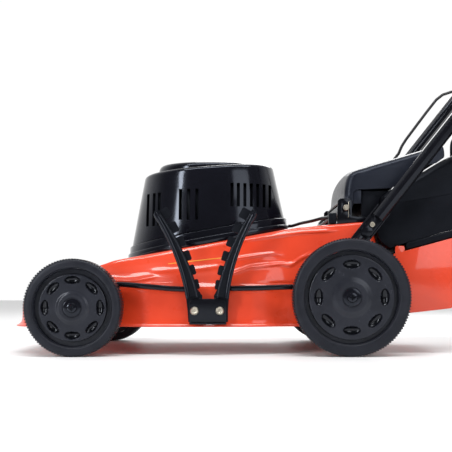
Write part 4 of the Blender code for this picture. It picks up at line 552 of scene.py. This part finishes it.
# The beads pressed into each side: height and width of the bead, then its line in the side view.
BEADS = (
    (0.0030, 0.0040, ((0.040, 0.1500), (0.068, 0.1490), (0.104, 0.1478), (0.128, 0.1505), (0.150, 0.1560))),
    (0.0016, 0.0050, ((0.150, 0.1675), (0.190, 0.1695), (0.235, 0.1712), (0.292, 0.1780))),
    (0.0032, 0.0042, ((0.300, 0.1600), (0.318, 0.1650), (0.345, 0.1745), (0.3725, 0.1785), (0.4060, 0.1823),
                      (0.4263, 0.1790), (0.4444, 0.1920), (0.470, 0.2050))),
    (0.0022, 0.0040, ((0.290, 0.1880), (0.3236, 0.1934), (0.3679, 0.2004), (0.3940, 0.2035),
                      (0.4070, 0.1990))),
    (0.0024, 0.0038, ((0.330, 0.2300), (0.400, 0.2400), (0.450, 0.2465), (0.515, 0.2500))),
)
BEAD_RUN_OUT = 0.02


def seat(x, lift=0.0):
    """Height of the sloping flat on top of the deck."""
    return SEAT_START[1] + CREST_SLOPE * (x - SEAT_START[0]) + lift


def crest(x):
    """Height of the deck's top along its middle."""
    if x < CREST_LINE[-1][0]:
        return between(CREST_LINE, x)
    return seat(x) if x < CREST_TAIL[0][0] else between(CREST_TAIL, x)


def waist(x):
    """Height of the narrow ledge round the deck's sides."""
    return NOSE_WAIST + WAIST_RISE * smooth_step(x, NOSE, NOSE + 0.042)


def skirt_half(x):
    """Half the deck's width, drawn in beside the wheels."""
    out = smooth_step(x, *WIDENING) * (1 - smooth_step(x, *NARROWING))
    side = FRONT_HALF if x < COVER_CENTRE else REAR_HALF
    return side + (WIDEST_HALF - side) * out


def deck_row(front, rear, half, height):
    """A ring round the deck at one level."""
    points = [(rear, 0.0)]
    tail_start, nose_start = rear - TAIL_ROUNDING, front + NOSE_ROUNDING
    wide = half(tail_start)
    for k in range(7):
        turn = radians(15 * k)
        points.append((rear - TAIL_ROUNDING * (1 - cos(turn)), wide - TAIL_ROUNDING * (1 - sin(turn))))
    for k in range(1, 112):
        x = tail_start + (nose_start - tail_start) * k / 112
        points.append((x, half(x)))
    wide = half(nose_start)
    for k in range(13):
        turn = radians(7.5 * k)
        points.append((front + NOSE_ROUNDING * (1 - sin(turn)), wide - NOSE_ROUNDING * (1 - cos(turn))))
    points.append((front, 0.0))
    side = [Vector((x, y, height(x))) for x, y in points]
    return side + [Vector((spot.x, -spot.y, spot.z)) for spot in side[-2:0:-1]]


def press_beads(shape):
    """Raise the long beads that stiffen the deck's sides."""
    for corner in shape.verts:
        x, y, z = corner.co
        if abs(y) < 0.12:
            continue
        for height, width, line in BEADS:
            start, end = line[0][0], line[-1][0]
            if start - BEAD_RUN_OUT < x < end + BEAD_RUN_OUT:
                ends = smooth_step(x, start - BEAD_RUN_OUT, start + 0.015)
                ends *= 1 - smooth_step(x, end - BEAD_RUN_OUT, end + 0.012)
                lift = height * ends * exp(-((z - between(line, x)) / width) ** 2)
                corner.co.y += lift if y > 0 else -lift


def side_row(share):
    """A ring round the deck's side between the waist and the shoulder."""
    drawn = between(SIDE_DRAWN, share)
    return deck_row(between(SIDE_FRONTS, share), between(SIDE_REARS, share),
                    lambda x: skirt_half(x) + (SHOULDER_HALF - skirt_half(x)) * drawn,
                    lambda x: waist(x) + (crest(x) - waist(x)) * share)


def dress_deck():
    """The deck: a pressed shell with a flared lip, a ledge, beads, and openings for axles and motor."""
    rows = [
        deck_row(LIP_NOSE, DECK_REAR + 0.001, lambda x: skirt_half(x) + LIP_FLARE, lambda x: LIP_HEIGHT),
        deck_row(NOSE - 0.002, DECK_REAR, skirt_half, lambda x: SKIRT_HEIGHT),
        deck_row(NOSE, DECK_REAR, skirt_half, lambda x: waist(x) - 0.004),
        deck_row(NOSE + LEDGE, DECK_REAR - LEDGE, lambda x: skirt_half(x) - LEDGE,
                 lambda x: waist(x) + 0.005),
    ]
    rows += [side_row(0.10 + 0.80 * k / SIDE_ROWS) for k in range(SIDE_ROWS + 1)]
    rows += [
        deck_row(SHOULDER_NOSE, UPPER_REAR - 0.022, lambda x: SHOULDER_HALF, crest),
        deck_row(TOP_NOSE, UPPER_REAR - 0.064, lambda x: SHOULDER_HALF - 0.045, crest),
    ]
    columns = [rounded(column, EDGE_ROUNDING, 4) for column in zip(*rows)]
    rows = [list(row) for row in zip(*columns)]
    rows.append([(x, 0.0, crest(x)) for x, y, z in rows[-1]])
    shape = skin(rows)
    bmesh.ops.remove_doubles(shape, verts=shape.verts, dist=0.00005)
    press_beads(shape)
    window(shape, (UPPER_REAR - 0.030, -CHUTE_HALF, CHUTE_BOTTOM),
           (UPPER_REAR + 0.010, CHUTE_HALF, CHUTE_TOP))
    window(shape, (COVER_CENTRE - SHAFT_HOLE_HALF, -SHAFT_HOLE_HALF, 0.15),
           (COVER_CENTRE + SHAFT_HOLE_HALF, SHAFT_HOLE_HALF, 0.27))
    for x, z in (FRONT_PIVOT, REAR_PIVOT):
        for low, high in ((-0.23, -0.15), (0.15, 0.23)):
            window(shape, (x - PIVOT_HOLE_HALF, low, z - PIVOT_HOLE_HALF),
                   (x + PIVOT_HOLE_HALF, high, z + PIVOT_HOLE_HALF))
    piece("pressed_deck", shape, "chassis", "deck", wall=DECK_SHEET)


# The motor cover

COVER_CENTRE = 0.250
OVAL_STEPS = 128
ROUND_POWER, SQUARE_POWER = 2.15, 2.9
TOP_SLOPE = tan(radians(4.0))
# Each oval: where it starts, where it ends, and half its width.
BASE_RING = (0.0755, 0.430, 0.154)
COVER_FOOT = (0.085, 0.420, 0.150)
COVER_SHOULDER = (0.112, 0.397, 0.133)
CAP_FOOT = (0.143, 0.352, 0.095)
LID_FRONT_HEIGHT = 0.3765
CAP_HEIGHT = 0.4015
FOOT_OVER_SEAT = 0.0316 + 0.003 * CREST_SLOPE
SHOULDER_DROP = 0.0075
COVER_WALL = 0.003
BASE_WALL = 0.014
SEATING_GAP = 0.0003
SLOT_HALF = 0.00325
SLOT_INNER, SLOT_OUTER = 0.075, 0.20
# The vent slots: their places along the cover, then the shares of the wall's height that they span.
SLOT_GROUPS = (
    ((0.1275, 0.1420, 0.1540), 0.20, 0.72),
    ((0.2000, 0.2170, 0.2345), 0.19, 0.70),
    ((0.3070, 0.3200, 0.3335, 0.3470, 0.3605, 0.3740, 0.3865), 0.25, 0.69),
)
# The base ring's steps: height over its foot, and how far it is drawn in there.
BASE_STEPS = ((0.0, 0.0006), (0.0006, 0.0), (0.0125, 0.0), (0.0137, 0.0010), (0.0146, 0.0040),
              (0.0276, 0.0044), (0.0287, 0.0052), (0.0290, 0.0066))
# The cover's rounding into its lid: how far it is drawn in, and how far below the lid it is.
CROWN_STEPS = ((0.0006, 0.0050), (0.0022, 0.0026), (0.0048, 0.0008), (0.0085, 0.0), (0.030, 0.0))
# The raised cap: how far it is drawn in, and its share of the way up.
CAP_STEPS = ((0.0, 0.0), (0.0, 0.40), (0.0008, 0.62), (0.0032, 0.82), (0.0068, 0.94), (0.012, 1.0),
             (0.030, 1.0))


def oval(span, height, inset=0.0):
    """A ring that is round in front and squarer behind."""
    front, rear, half = span[0] + inset, span[1] - inset, span[2] - inset
    spots = []
    for k in range(OVAL_STEPS):
        turn = 2 * pi * k / OVAL_STEPS
        c, s = cos(turn), sin(turn)
        reach, power = (rear - COVER_CENTRE, SQUARE_POWER) if c > 0 else (COVER_CENTRE - front, ROUND_POWER)
        x = COVER_CENTRE + (1 if c > 0 else -1) * reach * abs(c) ** (2 / power)
        y = (1 if s > 0 else -1) * half * abs(s) ** (2 / power)
        spots.append(Vector((x, y, height(x))))
    return spots


def lid_height(x, lift=0.0):
    """Height of the cover's sloping lid."""
    return LID_FRONT_HEIGHT + TOP_SLOPE * (x - COVER_SHOULDER[0]) + lift


def wall_height(x, share):
    """Height on the cover's wall, from 0 at its foot to 1 at its shoulder."""
    low = seat(x, FOOT_OVER_SEAT)
    return low + (lid_height(x, -SHOULDER_DROP) - low) * share


def wall_row(share):
    """A ring round the cover's wall, from 0 at its foot to 1 at its shoulder."""
    span = [foot + (top - foot) * share for foot, top in zip(COVER_FOOT, COVER_SHOULDER)]
    return oval(span, lambda x: wall_height(x, share))


def base_row(up, inset):
    """A ring of the base ring at a height over the deck's flat."""
    return oval(BASE_RING, lambda x: seat(x, SEATING_GAP + up), inset)


def cap_row(inset, share):
    """A ring of the raised cap at a share of its way up from the lid."""
    return oval(CAP_FOOT, lambda x: lid_height(x, SEATING_GAP) * (1 - share) + CAP_HEIGHT * share, inset)


def dress_cover():
    """The motor cover with its slots, the stepped ring under it, and the cap on top."""
    rows = [[spot - Vector((0, 0, 0.002)) for spot in wall_row(0.0)]]
    rows += [wall_row(share) for share in (0.0, 0.2, 0.4, 0.6, 0.8, 0.93, 1.0)]
    for inset, drop in CROWN_STEPS:
        rows.append(oval(COVER_SHOULDER, lambda x: lid_height(x, -drop), inset))
    shape = skin(rows, end=True)
    for places, low, high in SLOT_GROUPS:
        middle = places[len(places) // 2]
        for x in places:
            for start, end in ((-SLOT_OUTER, -SLOT_INNER), (SLOT_INNER, SLOT_OUTER)):
                window(shape, (x - SLOT_HALF, start, wall_height(middle, low)),
                       (x + SLOT_HALF, end, wall_height(middle, high)))
    shell = piece("motor_cover_shell", shape, "chassis", "motor_cover", wall=COVER_WALL, sharp=50)
    shell.data.materials.append(MOULDING)
    shell.modifiers["wall"].material_offset = 1
    shell.modifiers["wall"].material_offset_rim = 1
    rows = [base_row(up, inset) for up, inset in BASE_STEPS]
    rows += [base_row(up, BASE_WALL) for up in (BASE_STEPS[-1][0], 0.0)]
    piece("stepped_base_ring", skin(rows + rows[:1]), "chassis", "cover_base_ring", sharp=50)
    rows = [cap_row(inset, share) for inset, share in CAP_STEPS]
    piece("raised_cap", skin(rows, start=True, end=True), "chassis", "cover_cap", sharp=50)


# Wheels

TYRE_WIDTH = 0.045
WHEEL_FACE = 0.255
LUG_SIZE = (0.0026, 0.0375, 0.0028)
BORE = 0.0064
BOSS_RECESS = 0.0185
CROSS_REACH, CROSS_HALF, CROSS_DEPTH = 0.0050, 0.0008, 0.0024
BOWLS = 8
BOWL_DEPTH = 0.0085
# For each end of the mower: place of the wheel's centre, radius, depth of the tyre's wall, radius of the
# web, of the hub and of the circle of bowls, number of lugs, and a bowl's length round the circle and width.
WHEELS = {
    "front": (0.0, 0.095, 0.018, 0.0655, 0.0334, 0.0538, 104, (0.0307, 0.0154)),
    "rear": (WHEELBASE, 0.115, 0.023, 0.0825, 0.0404, 0.0644, 124, (0.0346, 0.0173)),
}


def dress_tyre(name, side, centre, radius, inner, lugs):
    """A moulded tyre with a round shoulder and a lug at every few degrees."""
    top = TYRE_WIDTH
    tread = radius - 0.0014
    profile = [(inner, top - 0.0022), (inner + 0.0012, top - 0.0008), (inner + 0.004, top),
               (radius - 0.0075, top - 0.0004), (radius - 0.0035, top - 0.0018), (tread, top - 0.0048),
               (tread, 0.0048), (radius - 0.005, 0.0), (inner, 0.0)]
    shape = turned(rounded(profile, 0.0012, 2, closed=True), centre, (0, side, 0), 128)
    middle = centre + Vector((0, side * TYRE_WIDTH / 2, 0))
    for k in range(lugs):
        place = Matrix.Translation(middle) @ Matrix.Rotation(2 * pi * k / lugs, 4, "Y")
        place = place @ Matrix.Translation((radius - LUG_SIZE[0] / 2, 0, 0)) @ Matrix.Diagonal((*LUG_SIZE, 1))
        bmesh.ops.create_cube(shape, size=1.0, matrix=place)
    piece(f"{name}_lugged_tyre", shape, f"{name}_wheel", f"{name}_tyre")


def dress_rim(name, side, centre, inner, web, hub, circle, dimple):
    """A moulded rim whose web has a circle of glossy bowls, their colour darkened as painted shade."""
    top = TYRE_WIDTH
    outer, groove, face, boss = inner - 0.0003, top - 0.016, top - 0.007, top - 0.0045
    web_face, back, rise = face - 0.0002, groove - 0.0035, boss - 0.0010
    web_steps, hub_steps = 30, 10
    profile = [(BORE, rise), (BOSS_RECESS, rise), (BOSS_RECESS + 0.001, boss)]
    start = BOSS_RECESS + 0.002
    for k in range(hub_steps + 1):
        along = start + (hub - start) * k / hub_steps
        profile.append((along, boss - (boss - face + 0.0002) * smooth_step(k, 4, hub_steps)))
    for k in range(web_steps + 1):
        profile.append((hub + 0.0012 + (web - hub - 0.0024) * k / web_steps, web_face))
    profile += [(web, face - 0.0012), (web + 0.0012, groove), (outer - 0.0022, groove),
                (outer - 0.0014, groove + 0.001), (outer - 0.0012, top - 0.0030),
                (outer - 0.0006, top - 0.0018), (outer, top - 0.0018), (outer, 0.003),
                (outer - 0.0035, 0.003), (outer - 0.0035, back), (0.015, back), (0.015, 0.004), (BORE, 0.004)]
    shape = turned(profile, (0, 0, 0), (0, 0, 1), 256)

    def bowl(place):
        """How far a place on the web lies inside the nearest bowl: 1 at its middle, 0 at its edge."""
        if place.z <= face - 0.001:
            return -1
        turn = atan2(place.y, place.x)
        off = turn - round(turn / (2 * pi / BOWLS)) * (2 * pi / BOWLS)
        across = (hypot(place.x, place.y) - circle) / (dimple[1] / 2)
        return 1 - across ** 2 - (circle * off / (dimple[0] / 2)) ** 2

    # Faces inside the bowls take the second finish, whose darker colour is painted shade.
    for part in shape.faces:
        part.material_index = int(bowl(part.calc_center_median()) > 0.08)
    for corner in shape.verts:
        inside = bowl(corner.co)
        if inside > 0:
            corner.co.z -= BOWL_DEPTH * inside ** 0.55
    bmesh.ops.transform(shape, matrix=Matrix.Translation(centre) @ towards((0, side, 0)), verts=shape.verts)
    rim = piece(f"{name}_dimpled_rim", shape, f"{name}_wheel", f"{name}_rim", sharp=40)
    rim.data.materials.append(GLOSSY_BOWL_PAINTED_SHADE)


def dress_screw(name, side, centre):
    """A hub screw with a flange under its head and a cross recess in it."""
    under = TYRE_WIDTH - 0.0042
    head = under + 0.0015
    crown = head + 0.0040
    profile = [(0.0007 * k, crown) for k in range(9)]
    profile += [(0.0088, head + 0.0031), (0.0098, head + 0.0014), (0.0098, head), (0.0150, head),
                (0.0170, head - 0.0005), (0.0173, under), (0.0025, under), (0.0025, under - 0.020),
                (0.0, under - 0.020)]
    shape = turned(profile, (0, 0, 0), (0, 0, 1), 64, closed=False)
    for corner in shape.verts:
        x, y, z = corner.co
        if z > crown - 0.0002 and hypot(x, y) < CROSS_REACH and min(abs(x), abs(y)) < CROSS_HALF:
            corner.co.z -= CROSS_DEPTH
    bmesh.ops.transform(shape, matrix=Matrix.Translation(centre) @ towards((0, side, 0)), verts=shape.verts)
    piece(f"{name}_screw_cap", shape, BODY_OF[f"{name}_hub_screw"], f"{name}_hub_screw")


def dress_wheel(end, label, side):
    """The tyre, rim and hub screw of one wheel."""
    x, radius, wall, web, hub, circle, lugs, dimple = WHEELS[end]
    name = f"{end}_{label}"
    centre = Vector((x, side * (WHEEL_FACE - TYRE_WIDTH), radius))
    dress_tyre(name, side, centre, radius, radius - wall, lugs)
    dress_rim(name, side, centre, radius - wall, web, hub, circle, dimple)
    dress_screw(name, side, centre)


# Rear flap and grass collector

HINGE = (0.541, 0.298)
FLAP_HALF = 0.140
FLAP_SHEET = 0.003
BARREL_BORE, BARREL_RADIUS, BARREL_HALF = 0.0046, 0.0130, 0.1395
FLAP_TOP = ((0.5290, 0.3120), (0.5345, 0.3180), (0.5355, 0.3400), (0.5390, 0.3600), (0.5450, 0.3720),
            (0.5545, 0.3820), (0.5670, 0.3890), (0.6000, 0.3990), (0.6450, 0.4110), (0.7420, 0.4395),
            (0.7450, 0.4330), (0.7440, 0.4020))
FLAP_UNDER = ((0.7280, 0.3905), (0.7160, 0.3885), (0.7050, 0.3840), (0.6900, 0.3740), (0.6600, 0.3530),
              (0.6360, 0.3390), (0.5640, 0.3360), (0.5570, 0.3300), (0.5560, 0.3020), (0.5500, 0.2890),
              (0.5340, 0.2870), (0.5260, 0.2980))
HOOD_FALL = 0.012
HOOD_EDGE = 0.010
HOOD_SWEEP = 0.006
HOOD_CORNER = 0.014
# Where the hood's outline is drawn close together, from the start of its rounded edge to its side.
HOOD_EDGE_PLACES = [0.1305, 0.1330, 0.1355, 0.1375, 0.1389, 0.1397, 0.1400]

COLLECTOR_START = (0.611, 0.3005)
PARTING_SLOPE = 0.1622
LID_FLAT_HALF = 0.150
LID_CORNER = 0.018
LID_EDGE_PLACES = [0.150, 0.1545, 0.159, 0.1625, 0.165, 0.1668, 0.1677, 0.168]
LID_SHEET = 0.0025
CARRY_HANDLE_RADIUS = 0.008
LID_CROWN = ((0.616, 0.322), (0.650, 0.345), (0.692, 0.367), (0.745, 0.398), (0.815, 0.427), (0.900, 0.440),
             (0.985, 0.434), (1.030, 0.412), (1.055, 0.3735))
CARRY_HANDLE = ((0.800, 0.4185), (0.800, 0.452), (0.806, 0.4645), (0.818, 0.4708), (0.835, 0.472),
                (0.905, 0.472), (0.922, 0.4708), (0.934, 0.4645), (0.940, 0.452), (0.940, 0.435))
MOUTH_HALF = 0.134
APRON = ((0.5745, 0.2715), (0.6005, 0.2725), (0.6100, 0.2990), (0.6130, 0.3190), (0.6330, 0.3325),
         (0.6320, 0.3335), (0.5745, 0.3335))
LEDGE_PROFILE = ((0.5570, 0.3070), (0.5735, 0.3070), (0.5735, 0.3345), (0.5640, 0.3345), (0.5570, 0.3290))


def quarter_fall(beside, corner):
    """How far a round corner has fallen at a distance past the start of its rounding."""
    past = max(0.0, beside)
    return corner - sqrt(max(corner ** 2 - past ** 2, 0.0))


def hood_row(y):
    """The hood's outline at a distance from its middle: its top falls away and draws back to the sides."""
    share = abs(y) / FLAP_HALF
    drop = HOOD_FALL * share ** 2 + quarter_fall(abs(y) - FLAP_HALF + HOOD_EDGE, HOOD_EDGE)
    turned_back = HOOD_SWEEP * share ** 2 + quarter_fall(abs(y) - FLAP_HALF + HOOD_CORNER, HOOD_CORNER)
    row = []
    for x, z in rounded(FLAP_TOP, 0.007, 3):
        back = turned_back * (1 - smooth_step(x, 0.525, 0.680)) * smooth_step(z, 0.304, 0.328)
        fall = drop * smooth_step(x, 0.528, 0.575)
        if x > 0.7:
            fall *= smooth_step(z, 0.402, 0.430)
        row.append((x + back, y, z - fall))
    return row


def dress_flap():
    """The raised rear flap: a round hood with flat sides, and the barrel round its hinge rod."""
    middle = [FLAP_HALF * k / 30 for k in range(-27, 28)]
    places = [-y for y in reversed(HOOD_EDGE_PLACES)] + middle + HOOD_EDGE_PLACES
    rows = [hood_row(y) for y in places]
    shape = skin(rows, closed=False)
    for row in (rows[0], rows[-1]):
        wall = [shape.verts.new(spot) for spot in row]
        wall += [shape.verts.new((x, row[0][1], z)) for x, z in rounded(FLAP_UNDER, 0.004, 2)]
        shape.faces.new(wall)
    piece("rounded_hood", shape, "discharge_flap", "flap", look=HOOD_MATTE, wall=FLAP_SHEET, sharp=60)
    barrel = [(BARREL_BORE, -BARREL_HALF), (BARREL_RADIUS, -BARREL_HALF), (BARREL_RADIUS, BARREL_HALF),
              (BARREL_BORE, BARREL_HALF)]
    piece("hood_hinge_barrel", turned(barrel, (HINGE[0], 0, HINGE[1]), (0, 1, 0), 40), "discharge_flap",
          look=HOOD_MATTE)


def dress_collector():
    """The collector's moulded lid with round upper edges, and its carry handle."""
    start_x, start_z = COLLECTOR_START
    crown = flowing([(x, 0, z) for x, z in LID_CROWN], 40)
    row = [Vector((start_x, 0, start_z + 0.0001))] + [Vector((spot.x, 0, spot.z)) for spot in crown]
    middle = [0.140 * k / 8 for k in range(-8, 9)]
    places = [-y for y in reversed(LID_EDGE_PLACES)] + middle + LID_EDGE_PLACES
    rows = []
    for y in places:
        drop = quarter_fall(abs(y) - LID_FLAT_HALF, LID_CORNER)
        made = []
        for spot in row:
            parting = start_z + PARTING_SLOPE * (spot.x - start_x)
            made.append((spot.x, y, spot.z - drop * smooth_step(spot.z - parting, 0.002, 0.050)))
        rows.append(made)
    shape = skin(rows, closed=False)
    for row in (rows[0], rows[-1]):
        shape.faces.new([shape.verts.new(spot) for spot in row])
    piece("moulded_lid", shape, "grass_box", "collector_lid", wall=LID_SHEET, sharp=50)
    route = flowing([(x, 0, z) for x, z in CARRY_HANDLE], 40)
    piece("lid_carry_handle", pipe(route, CARRY_HANDLE_RADIUS), "grass_box", look=MOULDING)


def dress_mouth():
    """The collector's moulded apron, which closes on the deck behind the hinge, and the flap's two ledges."""
    apron = slab(rounded(APRON, 0.003, 2, closed=True), -MOUTH_HALF, MOUTH_HALF, 0.0012, 2)
    piece("mouth_apron", apron, "grass_box", look=MOULDING)
    for label, low, high in (("left", -0.139, -0.1365), ("right", 0.1365, 0.139)):
        ledge = slab(LEDGE_PROFILE, low, high, 0.0006, 2)
        piece(f"hood_{label}_ledge", ledge, "discharge_flap", look=HOOD_MATTE)


# Height adjuster, feet and trim

# Each comb: its foot and its tip in the side view, and the way it bows: 1 to the rear, -1 to the front.
COMBS = (
    ("front_comb", (0.222, 0.066), (0.1515, 0.281), 1),
    ("rear_comb", (0.300, 0.066), (0.3590, 0.282), -1),
)
COMB_BOW = 0.064
COMB_PLANE = -0.2235
RIDGE_RADIUS, THIN_RIDGE_RADIUS = 0.0044, 0.0018
RIDGE_INSET = 0.0042
THIN_RIDGE_FOOT, THIN_RIDGE_TIP = 0.0225, 0.0100
TIP_GAP = 0.0035
# The ridge swells a little before its round end.
RIDGE_END = [0.0050, 0.0052, 0.0040]
RIDGE_FLATNESS = 0.7
RIDGE_STEPS = 30

BRACKET_FRONT, BRACKET_REAR = 0.224, 0.297
BRACKET_FOOT, BRACKET_TOP = 0.061, 0.112
BRACKET_CORNER = 0.013
BRACKET_OUTER, BRACKET_INNER = -0.2213, -0.2183
FOLD_FOOT, FOLD_TOP = 0.0615, 0.065
FOLD_OUTER, FOLD_INNER = -0.2273, -0.2203
FOOT_UP, FOOT_ACROSS = Vector((0.6198, 0, 0.7848)), Vector((0.7848, 0, -0.6198))
FOOT_EDGE_RADIUS = 0.0026

TRIM_START = (0.178, 0.1812)
TRIM_RUN, TRIM_RISE, TRIM_WIDTH = 0.113, 0.0125, 0.0016
TRIM_STEPS = 60


def dress_comb(name, foot, tip, lean):
    """The round ridge along a comb's outer edge, and the thin one beside it."""
    def along(z, inward):
        rise = tip[1] - foot[1]
        t = (z - foot[1]) / rise
        slope = ((tip[0] - foot[0]) + lean * COMB_BOW * (1 - 2 * t)) / rise
        reach = hypot(slope, 1.0)
        x = foot[0] + (tip[0] - foot[0]) * t + lean * COMB_BOW * t * (1 - t)
        return x + lean * inward / reach, COMB_PLANE, z - lean * slope * inward / reach

    full = tip[1] - BRACKET_TOP
    heights = [BRACKET_TOP + (full - TIP_GAP) * k / RIDGE_STEPS for k in range(RIDGE_STEPS + 1)]
    radii = [RIDGE_RADIUS] * (len(heights) - len(RIDGE_END)) + RIDGE_END
    shape = pipe([along(z, RIDGE_INSET) for z in heights], radii, 20)
    nearing = (THIN_RIDGE_FOOT - THIN_RIDGE_TIP) / full
    inner = [along(z, THIN_RIDGE_FOOT - nearing * (z - BRACKET_TOP)) for z in heights[:-1]]
    gather(shape, pipe(inner, THIN_RIDGE_RADIUS, 14))
    for corner in shape.verts:
        corner.co.y = COMB_PLANE + (corner.co.y - COMB_PLANE) * RIDGE_FLATNESS
    piece(f"{name}_ridge", shape, BODY_OF[name], look=HOOD_GLOSS)


def dress_foot(label, side):
    """The turned-up edges of a handle's foot, where it leaves the deck."""
    plate = [corner.co for corner in nodes[f"{label}_foot_plate"].data.vertices]
    face = side * max(abs(place.y) for place in plate)
    top = max(place.dot(FOOT_UP) for place in plate)
    widths = [place.dot(FOOT_ACROSS) for place in plate]
    edges = (("front", min(widths) + FOOT_EDGE_RADIUS), ("rear", max(widths) - FOOT_EDGE_RADIUS))
    for edge, away in edges:
        beside = FOOT_ACROSS * away + Vector((0, face, 0))
        ends = [FOOT_UP * (top - reach) + beside for reach in (0.003, 0.020, 0.045, 0.066)]
        piece(f"{label}_foot_{edge}_edge", pipe(ends, FOOT_EDGE_RADIUS, 16), BODY_OF[f"{label}_foot_plate"],
              look=TUBE_PAINT, placed=True)


def dress_trim():
    """A plain amber line along the deck's side, behind the combs."""
    deck = bpy.data.objects["pressed_deck"]
    rows = []
    for lift in (0.0, TRIM_WIDTH):
        row = []
        for k in range(TRIM_STEPS + 1):
            x = TRIM_START[0] + TRIM_RUN * k / TRIM_STEPS
            z = TRIM_START[1] + TRIM_RISE * k / TRIM_STEPS + lift
            _, place, _, _ = deck.ray_cast((x + AHEAD, -0.30, z), (0, 1, 0))
            row.append((place.x - AHEAD, place.y - 0.0003, place.z))
        rows.append(row)
    piece("amber_trim_line", skin(rows, closed=False), "chassis", look=AMBER_TRIM)


def dress_bracket():
    """The plate over the combs' feet, with round upper corners and a fold at its foot."""
    upper = [(BRACKET_REAR, BRACKET_FOOT), (BRACKET_REAR, BRACKET_TOP), (BRACKET_FRONT, BRACKET_TOP),
             (BRACKET_FRONT, BRACKET_FOOT)]
    outline = [upper[3], upper[0]] + rounded(upper, BRACKET_CORNER, 6)[1:-1]
    shape = slab(outline, BRACKET_OUTER, BRACKET_INNER, 0.0010)
    front, rear = BRACKET_FRONT + 0.001, BRACKET_REAR - 0.001
    fold = [(front, FOLD_FOOT), (rear, FOLD_FOOT), (rear, FOLD_TOP), (front, FOLD_TOP)]
    gather(shape, slab(fold, FOLD_OUTER, FOLD_INNER, 0.0009))
    piece("bracket_plate", shape, "chassis", "comb_bracket")


# Putting the pieces on

REMADE = {"comb_bracket", "deck", "motor_cover", "cover_base_ring", "cover_cap", "flap", "collector_lid"}
REMADE_ENDINGS = ("_tyre", "_rim", "_hub_screw")
# How far the edges of a node are eased, where it isn't a plain small part.
EASED = {
    "front_comb": 0.0012, "rear_comb": 0.0012, "flap_bracket": 0.0008, "left_foot_plate": 0.0009,
    "right_foot_plate": 0.0009, "collector_body": 0.004, "collector_rail": 0.003, "rear_shroud": 0.002,
    "switch_box": 0.004, "cable_clamp": 0.002, "left_clamp_knob": 0.0015, "right_clamp_knob": 0.0015,
}
HEADS = {"flap_hinge_rod": 0.0056, "left_foot_bolt": 0.0052, "right_foot_bolt": 0.0052}
RECESSES = {"front_comb_bolt": 0.0040, "rear_comb_bolt": 0.0040, "left_foot_bolt": 0.0022}

dress_deck()
dress_cover()
for side, label in ((-1, "left"), (1, "right")):
    dress_wheel("front", label, side)
    dress_wheel("rear", label, side)
dress_flap()
dress_collector()
dress_bracket()
for comb in COMBS:
    dress_comb(*comb)
dress_trim()
dress_foot("left", -1)
dress_foot("right", 1)
dress_mouth()
for node in nodes:
    if node not in REMADE and not node.endswith(REMADE_ENDINGS):
        softened(node, EASED.get(node, 0.0004), head=HEADS.get(node), recess=RECESSES.get(node))
